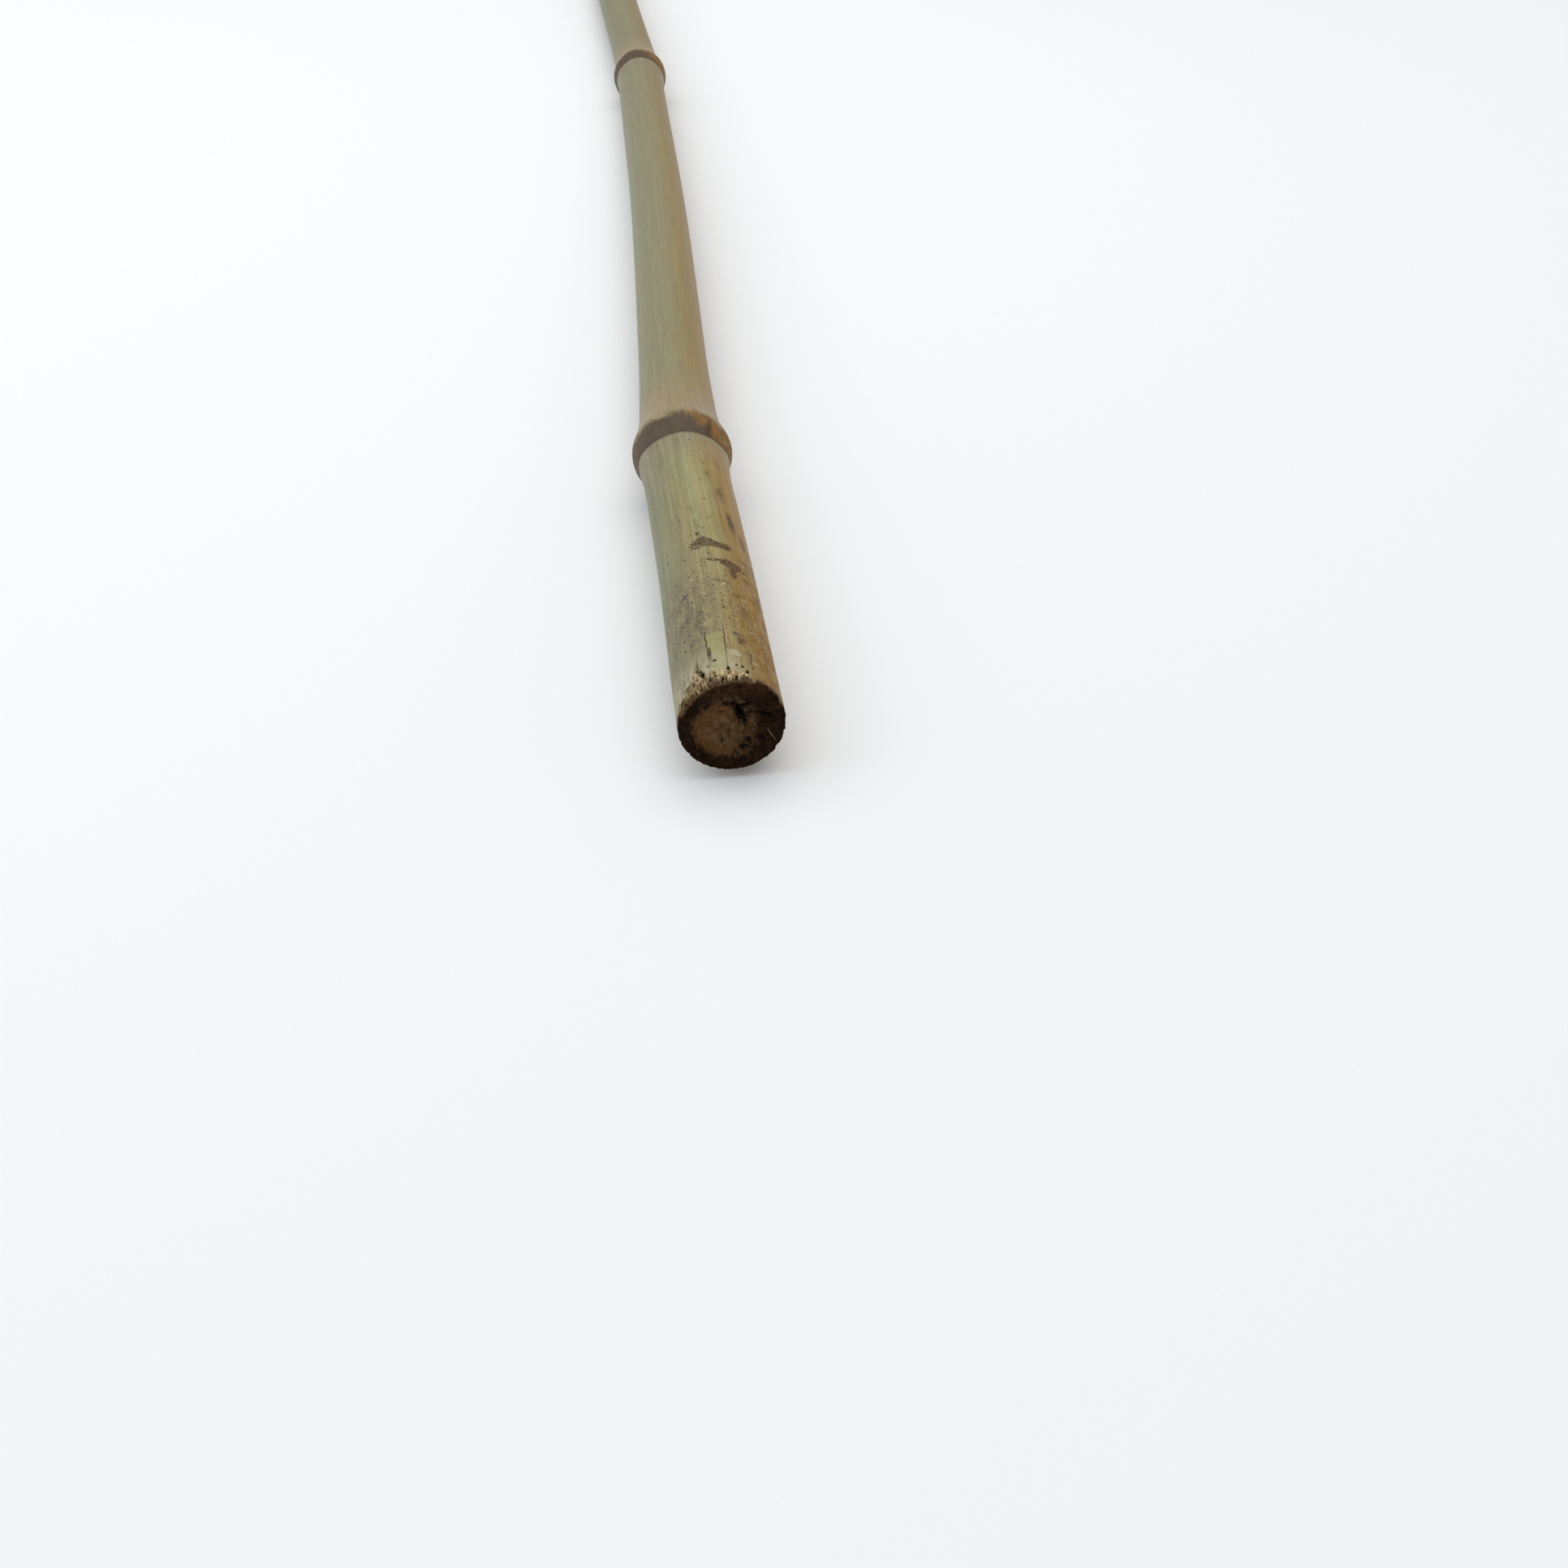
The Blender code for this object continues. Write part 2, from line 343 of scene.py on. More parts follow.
def makeBodyTree():
    tree, given, result = newTree("caneBody",
        {"Sides": ("Int", 104), "Out Of Round": ("Float", 0.011), "Scar Wave": ("Float", 0.05),
        "Lip Wave": ("Float", 0.0003), "Ridge Depth": ("Float", 0.00002), "Ridge Across": ("Float", 1.0),
        "Fibre Depth": ("Float", 0.0001), "Bud Height": ("Float", 0.0005), "Bud Width": ("Float", 0.0012),
        "Seed": ("Float", 4.0), "Material": ("Material", None)})
    curve = shape("MeshToCurve", {"Mesh": given["Geometry"]})
    curve = store(curve, "middle", shape("InputPosition"), "FLOAT_VECTOR")
    curve = shape("SetCurveNormal", {"Curve": curve}, mode="Z_UP")
    profile = shape("CurvePrimitiveCircle", {"Resolution": given["Sides"], "Radius": 1.0})
    tube = shape("CurveToMesh", {"Curve": curve, "Profile Curve": profile, "Scale": named("thickness")})
    # directions round the axis
    middle = named("middle", "FLOAT_VECTOR")
    side = named("sideways", "FLOAT_VECTOR")
    place = shape("InputPosition")
    outward = vectorCalc("NORMALIZE", vectorCalc("SUBTRACT", place, middle))
    cosine = measure("DOT_PRODUCT", outward, side)
    sine = measure("DOT_PRODUCT", outward, (0.0, 0.0, 1.0))
    along = named("along")
    nominal = cane["nominalRadius"]
    skinPoint = joined(times(cosine, nominal), times(along, 1000.0), times(sine, nominal))
    tube = store(tube, "skinPoint", skinPoint, "FLOAT_VECTOR")
    point = named("skinPoint", "FLOAT_VECTOR")

    def wave(vector, scale, seed, detail=2.0):
        values = {"Vector": vector, "W": seed, "Scale": scale, "Detail": detail}
        return minus(addNode("ShaderNodeTexNoise", values, noise_dimensions="4D").outputs["Fac"], 0.5)

    roundCane = vectorCalc("MULTIPLY", point, (1.0, 0.0, 1.0))
    nodeSeed = plus(named("nodeSeed"), given["Seed"])
    # radius: out of round, swelling, bud, ridges and the scar's fibres
    angle = calc("ARCTAN2", sine, cosine)
    oval = calc("COSINE", timesPlus(angle, 2.0, named("phase")))
    base = named("thickness")
    radius = timesPlus(times(oval, given["Out Of Round"]), base, base)
    uneven = timesPlus(wave(roundCane, 0.32, nodeSeed), times(given["Scar Wave"], 2.0), 1.0)
    radius = timesPlus(named("swelling"), uneven, radius)
    facing = measure("DOT_PRODUCT", outward, named("budSide", "FLOAT_VECTOR"))
    away = times(calc("ARCCOSINE", calc("MINIMUM", facing, 1.0)), base)
    away = calc("DIVIDE", away, given["Bud Width"])
    bump = calc("EXPONENT", times(away, away, -1.0))
    bump = times(bump, named("budShare"), given["Bud Height"])
    radius = plus(radius, bump)
    lengthwise = vectorCalc("MULTIPLY", point, (1.0, 0.02, 1.0))
    ridges = wave(lengthwise, calc("DIVIDE", 1.0, given["Ridge Across"]), given["Seed"], 3.0)
    radius = timesPlus(ridges, times(given["Ridge Depth"], 2.0), radius)
    streaks = vectorCalc("MULTIPLY", point, (1.0, 0.16, 1.0))
    fibres = times(wave(streaks, 2.2, nodeSeed, 2.0), named("scar"))
    radius = timesPlus(fibres, times(given["Fibre Depth"], 2.0), radius)
    # the lip of each scar wanders a little along the cane
    forward = vectorCalc("CROSS_PRODUCT", (0.0, 0.0, 1.0), side)
    wander = times(wave(roundCane, 0.75, nodeSeed, 3.0), times(given["Lip Wave"], 2.0))
    nearNode = calc("MINIMUM", calc("DIVIDE", named("swelling"), 0.0004), 1.0)
    wander = times(wander, largest(nearNode, 0.0))
    low = minus(timesPlus(cosine, -0.14, 0.86), sine)
    lifted = fade(low, 0.0, 1.05)
    wander = timesPlus(lifted, named("lift"), wander)
    place = vectorCalc("ADD", middle, scaled(outward, radius))
    place = vectorCalc("ADD", place, scaled(forward, wander))
    tube = shape("SetPosition", {"Geometry": tube, "Position": place})
    tube = shape("RealizeInstances", {"Geometry": tube})
    tube = shape("SetMaterial", {"Geometry": tube, "Material": given["Material"]})
    put(result["Geometry"], tube)
    return tree


# cut ends: the rim's tear, the chips and the pith
cutEnd = {
    "lean": 0.00052, "leanReach": 0.0062, "rings": 19, "refineFrom": 0.6,
    "tornFrom": 48.0, "tornTo": 178.0, "tornEdge": 20.0, "deepest": 122.0, "spread": 38.0,
    "skinDepth": 0.00014, "underDepth": 0.00022, "bevelDepth": 0.00045,
    "reach": 0.004, "stripWidth": 0.00034, "chip": 0.0001,
    "pithDepth": 0.00055, "roughness": 0.0002, "fibreEnds": 0.00008, "pitDepth": 0.00034,
    "tornRoughness": 0.00005,
}
# layers that the tear goes through: depth, reach along the cane, least reach and width of its strips
tornLayers = (("skinDepth", 1.0, 0.3, 1.0), ("underDepth", 0.66, 0.22, 1.7), ("bevelDepth", 0.34, 0.2, 2.6))
# holes in the rim, cut into it and painted near black as the shade inside them: mm from the cut, degrees
# round from the right, length and width in mm
rimPits = (
    (2.5, 119.0, 0.55, 0.4), (3.3, 121.0, 0.4, 0.22), (2.4, 90.0, 0.46, 0.2), (2.7, 74.0, 0.36, 0.22),
    (1.9, 145.0, 0.3, 0.16), (1.7, 69.0, 0.4, 0.26), (3.0, 80.0, 0.3, 0.16), (1.7, 133.0, 0.5, 0.26),
    (2.9, 62.0, 0.26, 0.16), (4.6, 103.0, 0.3, 0.34), (1.1, 157.0, 0.26, 0.13), (0.9, 112.0, 0.4, 0.26),
    (0.8, 98.0, 0.34, 0.24), (2.1, 127.0, 0.36, 0.18), (0.7, 82.0, 0.34, 0.28), (1.5, 105.0, 0.3, 0.16),
    (3.6, 111.0, 0.34, 0.14), (3.9, 126.0, 0.3, 0.14),
)


def stripValue(number, layer):
    # a fixed value from 0 to 1 for each strip of fibres round the cane
    return 0.5 + 0.5 * math.sin(number * 12.9898 + layer * 78.233 + 4.1 * math.sin(number * 3.7 + layer))


def tornDepth(along, degrees):
    # how far the skin is torn in at a place, and how far down the break goes, from 0 to 1
    inside = smoothStep((degrees - cutEnd["tornFrom"]) / cutEnd["tornEdge"])
    inside = inside * smoothStep((cutEnd["tornTo"] - degrees) / cutEnd["tornEdge"])
    strength = inside * (0.34 + 0.66 * bell(degrees - cutEnd["deepest"], cutEnd["spread"]))
    arc = math.radians(degrees) * 0.0064
    depth = 0.0
    for layer, (name, far, least, width) in enumerate(tornLayers):
        place = arc / (cutEnd["stripWidth"] * width)
        place += 2.6 * noise.noise(Vector((arc * 900.0, layer * 3.0, 0.0)))
        place += 0.6 * noise.noise(Vector((along * 1100.0, arc * 500.0, layer * 3.0)))
        number = math.floor(place)
        value = stripValue(number, layer) ** 1.9
        reach = cutEnd["reach"] * far * strength * (least + (1.0 - least) * value)
        if reach > 0.0001:
            share = float(smoothStep((reach - along) / 0.00016 + 0.5))
            depth += cutEnd[name] * min(1.0, strength * 1.3) * share
    return depth, depth / sum(cutEnd[layer[0]] for layer in tornLayers)


def pitShare(along, degrees):
    deepest = 0.0
    for place, side, length, width in rimPits:
        off = Vector(((degrees - side) * 0.1117 / width, (along * 1000.0 - place) / length, 0.0))
        off.x += 0.5 * noise.noise(Vector((degrees * 0.35, along * 2200.0, side)))
        deepest = max(deepest, 1.0 - float(smoothStep((off.length - 0.55) / 0.6)))
    return deepest


def chipDepth(along, degrees):
    value = noise.noise(Vector((degrees * 0.23, 1.3, 0.0))) + noise.noise(Vector((degrees * 0.9, 5.3, 0.0)))
    rare = max(0.0, noise.noise(Vector((degrees * 0.11, 8.6, 0.0))) - 0.22) * 6.0
    return cutEnd["chip"] * (max(0.0, 0.4 + value) + rare) * float(smoothStep(1.0 - along / 0.0007))


def pithDepth(share, across, up, isButt):
    # depth of the cut face below its plane
    place = Vector((across, up, 0.0 if isButt else 0.02))
    sunk = cutEnd["pithDepth"] * float(smoothStep((0.84 - share) / 0.3))
    rough = noise.noise(place * 900.0) + 0.7 * noise.noise(place * 2300.0)
    rough += 0.5 * noise.noise(place * 5200.0)
    ends = noise.voronoi(place * 2500.0)[0][0]
    edge = float(smoothStep((1.0 - share) / 0.03))
    depth = sunk + cutEnd["roughness"] * rough * edge + cutEnd["fibreEnds"] * (ends - 0.4) * edge
    if isButt:
        wander = noise.noise_vector(place * 1300.0) * 0.45
        x, y = across * 1000.0 + wander.x, up * 1000.0 + wander.y
        for left, low, width, height, deep in hollows:
            away = ((x - left) / width) ** 2 + ((y - low) / height) ** 2
            depth += 0.001 * deep * math.exp(-0.9 * away)
    return depth


def closeEnd(mesh, loop, centre, layers):
    # rings inwards from the rim's loop of points, and one point in the middle
    outer = loop
    for step in range(1, cutEnd["rings"]):
        share = 1.0 - step / cutEnd["rings"]
        ring = []
        for vert in loop:
            new = mesh.verts.new(centre + (vert.co - centre) * share)
            new[layers["skinPoint"]] = vert[layers["skinPoint"]]
            new[layers["along"]] = vert[layers["along"]]
            new[layers["faceShare"]] = share
            ring.append(new)
        for k in range(len(ring)):
            following = (k + 1) % len(ring)
            mesh.faces.new((outer[k], outer[following], ring[following], ring[k])).material_index = 1
        outer = ring
    middle = mesh.verts.new(centre)
    middle[layers["skinPoint"]] = loop[0][layers["skinPoint"]]
    middle[layers["along"]] = loop[0][layers["along"]]
    middle[layers["faceShare"]] = 0.0
    for k in range(len(outer)):
        mesh.faces.new((outer[k], outer[(k + 1) % len(outer)], middle)).material_index = 1


def finishEnds(body):
    mesh = bmesh.new()
    mesh.from_mesh(body.data)
    layers = {"skinPoint": mesh.verts.layers.float_vector["skinPoint"],
        "along": mesh.verts.layers.float["along"], "faceShare": mesh.verts.layers.float.new("faceShare")}
    for vert in mesh.verts:
        vert[layers["faceShare"]] = 2.0
    rim = {vert for edge in mesh.edges if edge.is_boundary for vert in edge.verts}
    for place in (0.0, cane["length"]):
        loop = [vert for vert in rim if abs(vert[layers["along"]] - place) < 0.01]
        loop.sort(key=lambda v: math.atan2(v[layers["skinPoint"]].z, v[layers["skinPoint"]].x))
        for vert in loop:
            vert[layers["faceShare"]] = 1.0
        closeEnd(mesh, loop, Vector(axisAt(np.array([place]))[0]), layers)
    # a finer mesh at the butt, where the tear and the rough cut are
    def isFine(vert):
        return vert[layers["along"]] < cane["buttReach"] and vert[layers["faceShare"]] > cutEnd["refineFrom"]
    edges = [edge for edge in mesh.edges if isFine(edge.verts[0]) and isFine(edge.verts[1])]
    bmesh.ops.subdivide_edges(mesh, edges=edges, cuts=2, use_grid_fill=True)
    bmesh.ops.triangulate(mesh, faces=[face for face in mesh.faces if len(face.verts) > 4])
    bmesh.ops.recalc_face_normals(mesh, faces=mesh.faces)
    mesh.to_mesh(body.data)
    mesh.free()
    shapeEnds(body.data)


def shapeEnds(data):
    along = readAttribute(data, "along")
    skin = readAttribute(data, "skinPoint", 3)
    share = readAttribute(data, "faceShare")
    places = np.zeros(len(data.vertices) * 3, np.float32)
    data.vertices.foreach_get("co", places)
    places = places.reshape(-1, 3).astype(float)
    middles = axisAt(along)
    turn = heading(along)
    forward = np.stack([np.sin(turn), np.cos(turn), np.zeros(len(turn))], 1)
    side = np.stack([np.cos(turn), -np.sin(turn), np.zeros(len(turn))], 1)
    degrees = np.degrees(np.arctan2(skin[:, 2], skin[:, 0])) % 360.0
    torn, pit = np.zeros(len(along)), np.zeros(len(along))
    for k in np.nonzero((along < cane["buttReach"]) | (share < 1.5))[0]:
        isButt = along[k] < cane["length"] / 2.0
        fromCut = float(along[k]) if isButt else float(cane["length"] - along[k])
        isFace = share[k] < 0.999
        outward = places[k] - middles[k]
        radius = np.linalg.norm(outward)
        fromRim = 0.0 if isFace else fromCut
        if isButt:
            deep = chipDepth(fromRim, degrees[k])
            tear, torn[k] = tornDepth(fromRim, degrees[k])
            pit[k] = pitShare(fromCut, degrees[k]) if not isFace else 0.0
            deep += tear + cutEnd["pitDepth"] * pit[k]
            deep += cutEnd["tornRoughness"] * torn[k] * noise.noise(Vector(places[k]) * 4200.0)
        else:
            deep = 0.4 * chipDepth(fromRim, degrees[k] + 77.0)
        part = min(float(share[k]), 1.0)
        full = max(radius / max(part, 0.01), 0.004)
        places[k] = middles[k] + outward * (1.0 - deep / full)
        inwards = 0.0
        if isButt:
            lean = cutEnd["lean"] * float(smoothStep(1.0 - fromCut / cutEnd["leanReach"]))
            inwards += lean * (places[k][2] - middles[k][2]) / cane["internodeRadii"][0]
        if share[k] < 1.5:
            flat = places[k] - middles[k]
            depth = pithDepth(part, float(flat @ side[k]), float(flat[2]), isButt) if isFace else 0.0
            inwards += depth if isButt else -depth
        places[k] = places[k] + forward[k] * inwards
    places = np.clip(places, *cadBox)
    data.vertices.foreach_set("co", places.astype(np.float32).ravel())
    addAttribute(data, "torn", torn)
    addAttribute(data, "pit", pit)
    acrossFace = ((places - middles) * side).sum(1) * 1000.0
    upFace = (places - middles)[:, 2] * 1000.0
    addAttribute(data, "facePoint", np.stack([acrossFace, upFace, share], 1))
    data.update()


# the bake's map: the first internode drawn largest, the rest in three strips, the two cut faces beside it
def makeBakeMap(data):
    layout = {"nearEnd": 0.0845, "nearScale": 10.2, "farScale": 5.55, "strips": 3, "pixels": 1024.0,
        "gap": 8.0}
    along = readAttribute(data, "along")
    skin = readAttribute(data, "skinPoint", 3)
    face = readAttribute(data, "facePoint", 3)
    fromTop = np.degrees(np.arctan2(-skin[:, 0], skin[:, 2]))
    data.uv_layers.new(name="OFBake")
    uv = np.zeros((len(data.loops), 2), np.float32)
    stripLength = (cane["length"] - layout["nearEnd"]) / layout["strips"]
    nearWidth = 360.0 * arcPerDegree * layout["nearScale"]
    farWidth = 360.0 * arcPerDegree * 0.9 * layout["farScale"]
    for polygon in data.polygons:
        loops = list(polygon.loop_indices)
        verts = list(polygon.vertices)
        if polygon.material_index == 1:
            isButt = along[verts[0]] < cane["length"] / 2.0
            x0, y0 = (78.0 if isButt else 226.0), 78.0 + nearStart(layout)
            for loop, vert in zip(loops, verts):
                uv[loop] = (x0 + face[vert][0] * layout["nearScale"],
                    y0 + face[vert][1] * layout["nearScale"])
            continue
        turns = fromTop[verts]
        if turns.max() - turns.min() > 180.0:
            turns = np.where(turns < 0.0, turns + 360.0, turns)
        if turns.mean() > 180.0:
            turns = turns - 360.0
        place = along[verts].mean()
        if place < layout["nearEnd"]:
            x0, scale, start, squeeze = layout["gap"] + nearWidth / 2.0, layout["nearScale"], 0.0, 1.0
        else:
            strip = min(int((place - layout["nearEnd"]) / stripLength), layout["strips"] - 1)
            x0 = 2.0 * layout["gap"] + nearWidth + farWidth / 2.0 + strip * (farWidth + layout["gap"])
            scale, start, squeeze = layout["farScale"], layout["nearEnd"] + strip * stripLength, 0.9
        for loop, vert, turned in zip(loops, verts, turns):
            uv[loop] = (x0 + turned * arcPerDegree * squeeze * scale,
                layout["gap"] + 4.0 + (along[vert] - start) * 1000.0 * scale)
    data.uv_layers["OFBake"].data.foreach_set("uv", (uv / layout["pixels"]).ravel())


def nearStart(layout):
    return 2.0 * layout["gap"] + layout["nearEnd"] * 1000.0 * layout["nearScale"]


# skin
skin = {
    "green": (0.292, 0.276, 0.132), "straw": (0.308, 0.246, 0.108), "ochre": (0.278, 0.15, 0.018),
    "grey": (0.204, 0.192, 0.106), "farGrey": (0.236, 0.215, 0.124), "farStraw": (0.272, 0.2, 0.078),
    "farOchre": (0.248, 0.156, 0.046), "farShade": (0.165, 0.15, 0.092), "pink": (0.306, 0.224, 0.124),
    "scuff": (0.15, 0.116, 0.08), "rubbed": (0.2, 0.098, 0.014), "stain": (0.062, 0.031, 0.02),
    "brown": (0.105, 0.05, 0.016), "purple": (0.152, 0.098, 0.074), "scar": (0.084, 0.058, 0.04),
    "scarWarm": (0.245, 0.118, 0.026), "shoulder": (0.262, 0.215, 0.138), "line": (0.04, 0.02, 0.007),
    "pale": (0.44, 0.39, 0.26), "tongue": (0.32, 0.29, 0.12), "speck": (0.026, 0.015, 0.006),
    "fibre": (0.7, 0.54, 0.29), "fibreDark": (0.17, 0.09, 0.032), "rimBrown": (0.062, 0.027, 0.009),
    "hole": (0.006, 0.003, 0.0015), "inkBlue": (0.035, 0.03, 0.065), "roughness": 0.44, "bumpStrength": 0.8,
    "bumpDepth": 0.00006, "shine": 0.16,
}
# marks on the skin, each drawn round, long or wide:
# mm from the cut, degrees to the left of the top, radius in mm
stainMarks = (
    ("round", 32.7, 10.5, 0.8), ("round", 32.9, 3.5, 1.25), ("round", 32.4, -4.0, 0.95),
    ("wide", 32.3, -11.0, 0.66), ("wide", 32.0, -18.0, 0.7), ("round", 31.7, -24.0, 0.72),
    ("long", 35.0, 8.0, 0.28), ("wide", 32.2, 16.0, 0.32), ("wide", 31.5, 13.0, 0.32),
    ("wide", 28.1, -2.0, 0.3), ("wide", 28.0, -11.0, 0.4), ("wide", 28.2, 7.0, 0.17),
    ("wide", 27.7, 15.0, 0.13), ("round", 27.6, -21.0, 0.95), ("round", 26.9, -29.0, 1.1),
    ("long", 25.3, -27.0, 0.5), ("round", 27.2, -36.0, 0.7), ("wide", 26.6, -43.0, 0.28),
    ("wide", 27.9, -48.0, 0.26),
)
brownMarks = (
    ("long", 41.4, -39.0, 0.42), ("long", 39.4, -41.0, 0.62), ("long", 37.8, -42.0, 0.42),
    ("long", 47.9, -33.0, 0.55), ("long", 46.4, -35.0, 0.3), ("long", 35.8, -55.0, 0.75),
    ("round", 33.6, -62.0, 0.6), ("long", 29.8, -66.0, 0.6), ("round", 24.9, -46.0, 0.5),
    ("wide", 29.6, -49.0, 0.45), ("long", 21.5, -62.0, 0.5),
)
faintMarks = (
    ("long", 38.6, 7.5, 0.3), ("long", 37.2, 6.0, 0.3), ("long", 30.6, -0.5, 0.28),
    ("long", 29.3, -2.0, 0.28), ("long", 42.5, 12.0, 0.22), ("long", 53.0, -20.0, 0.34),
    ("long", 57.5, -42.0, 0.42), ("wide", 19.5, -28.0, 0.4), ("wide", 22.6, -9.0, 0.5),
    ("long", 15.5, -30.0, 0.6),
)
darkMarks = (
    ("long", 41.2, -38.5, 0.34), ("long", 39.6, -40.5, 0.48), ("round", 10.2, -16.0, 0.48),
    ("long", 8.7, -20.0, 0.4), ("round", 9.9, -22.5, 0.3), ("wide", 5.9, -23.0, 0.22),
    ("wide", 4.7, 12.0, 0.24),
)
paleMarks = (
    ("round", 5.9, -9.0, 0.55), ("round", 5.4, -13.0, 0.32), ("round", 22.3, -2.0, 0.25),
    ("wide", 21.9, -13.0, 0.2), ("wide", 20.7, -17.0, 0.16), ("round", 24.2, 24.0, 0.24),
    ("round", 20.9, 33.0, 0.2), ("wide", 11.6, -38.0, 0.2), ("wide", 19.0, -34.0, 0.18),
    ("wide", 4.2, -34.0, 0.22),
)
# specks: how close, how big, how many and a seed
speckKinds = ((1.7, 0.17, 0.38, 3.0), (1.0, 0.17, 0.36, 17.0), (2.8, 0.21, 0.46, 31.0))
# fine lines along the grain:
# degrees to the left of the top, mm from the cut to both ends, half width in mm, slant
openCracks = (
    (19.0, 3.0, 11.2, 0.07, 0.0), (17.6, 2.8, 7.6, 0.2, 0.05), (-1.0, 1.0, 12.3, 0.06, 0.03),
    (33.0, 2.4, 6.6, 0.08, 0.04), (60.0, 0.3, 3.3, 0.09, 0.06), (46.0, 2.4, 5.2, 0.05, 0.0),
    (-27.5, 3.4, 6.4, 0.06, 0.1),
)
dashedCracks = (
    (17.5, 11.5, 25.5, 0.06, 0.0), (14.3, 15.0, 24.0, 0.045, 0.0), (20.0, 12.0, 20.5, 0.04, 0.02),
    (4.3, 11.0, 18.5, 0.04, 0.0), (27.5, 4.0, 9.0, 0.05, 0.0), (-7.5, 33.0, 43.0, 0.035, 0.0),
    (-27.0, 6.4, 15.0, 0.04, 0.0), (9.0, 22.0, 33.0, 0.03, 0.0), (-40.0, 10.0, 22.0, 0.04, 0.03),
    (38.0, 8.0, 17.0, 0.035, 0.0),
)


def marksMask(flat, marks, soft=0.35):
    # 1 inside the marks and 0 outside, softened by so many mm
    nearest = None
    spaces, made = {"round": (1.0, 1.0, 1.0), "long": (1.0, 0.34, 1.0), "wide": (0.45, 1.0, 1.0)}, {}
    for shape, place, fromTop, radius in marks:
        factors = spaces[shape]
        if shape not in made:
            made[shape] = stretched(flat, factors)
        distance = measure("DISTANCE", made[shape],
            (fromTop * arcPerDegree * factors[0], place * factors[1], 0.0))
        distance = minus(distance, radius)
        nearest = either(nearest, distance, "MINIMUM")
    return fade(nearest, soft, -soft)


def linesMask(arcLength, along, lines):
    # 1 on the lines, which taper towards both ends
    nearest = None
    for fromTop, start, end, width, slant in lines:
        middle, half = (start + end) / 2.0, (end - start) / 2.0
        sideways = arcLength if slant == 0.0 else timesPlus(along, slant, arcLength)
        sideways = timesPlus(sideways, 1.0 / width, -(fromTop * arcPerDegree + slant * middle) / width)
        ends = calc("POWER", calc("ABSOLUTE", timesPlus(along, 1.0 / half, -middle / half)), 5.0)
        distance = plus(calc("ABSOLUTE", sideways), ends)
        nearest = either(nearest, distance, "MINIMUM")
    return fade(nearest, 1.5, 0.7)


def noiseOf(vector, scale, detail=2.0, roughness=0.5, out="Fac", distortion=0.0):
    values = {"Vector": vector, "Scale": scale, "Detail": detail}
    values.update({"Roughness": roughness, "Distortion": distortion})
    return addNode("ShaderNodeTexNoise", values).outputs[out]


def channels(colour):
    return addNode("ShaderNodeSeparateColor", {0: colour}).outputs


def unevenness(vector, scale):
    # a rough vector field round zero, for ragged edges
    red, green, blue = channels(noiseOf(vector, scale, 4.0, 0.7, out="Color"))
    return vectorCalc("SUBTRACT", joined(red, green, blue), (0.5, 0.5, 0.5))


def stretched(vector, factors, offset=(0.0, 0.0, 0.0)):
    return vectorCalc("MULTIPLY_ADD", vector, factors, offset)


def grain(point, factors, detail, roughness=0.5, offset=(0.0, 0.0, 0.0)):
    return noiseOf(stretched(point, factors, offset), 1.0, detail, roughness)


def mixed(factor, first, second, blend="MIX"):
    colours = [(*value, 1.0) if isinstance(value, tuple) else value for value in (first, second)]
    values = {0: factor, 6: colours[0], 7: colours[1]}
    return addNode("ShaderNodeMix", values, data_type="RGBA", blend_type=blend).outputs[2]


def laid(under, over, mask, share=None):
    # a colour of the skin laid over another where the mask says, by its share
    return mixed(mask if share is None else times(mask, share), under, skin[over])


def toned(name, factor):
    # a colour of the skin, darker or lighter
    return tuple(factor * part for part in skin[name])


def shaded(colour, shade):
    grey = addNode("ShaderNodeCombineColor", {0: shade, 1: shade, 2: shade}).outputs[0]
    return mixed(1.0, colour, grey, "MULTIPLY")


def attribute(name, out="Fac"):
    return addNode("ShaderNodeAttribute", attribute_name=name).outputs[out]


def apart(vector):
    return addNode("ShaderNodeSeparateXYZ", {0: vector}).outputs


def spot(vector, place, radii, high, low, turn=0.0):
    # 1 inside an ellipse and 0 outside it
    values = {"Vector": vector, "Location": (*place, 0.0), "Scale": (*radii, 1.0)}
    values["Rotation"] = (0.0, 0.0, math.radians(turn))
    node = addNode("ShaderNodeMapping", values, vector_type="TEXTURE")
    return fade(measure("LENGTH", node.outputs[0]), high, low)


def finishShader(shader, colour, roughness, shine):
    put(shader.inputs["Base Color"], colour)
    put(shader.inputs["Roughness"], roughness)
    put(shader.inputs["Specular IOR Level"], shine)


def relief(shader, strength, distance, base, *parts):
    # bump from a height and further parts of it: (value, factor)
    for value, factor in parts:
        base = timesPlus(value, factor, base)
    bump = addNode("ShaderNodeBump", {"Strength": strength, "Distance": distance, "Height": base})
    put(shader.inputs["Normal"], bump.outputs[0])


def newMaterial(name, colour):
    material = bpy.data.materials.new(name)
    material.use_nodes = True
    material.diffuse_color = (*colour, 1.0)
    now["tree"] = material.node_tree
    return material, now["tree"].nodes["Principled BSDF"]


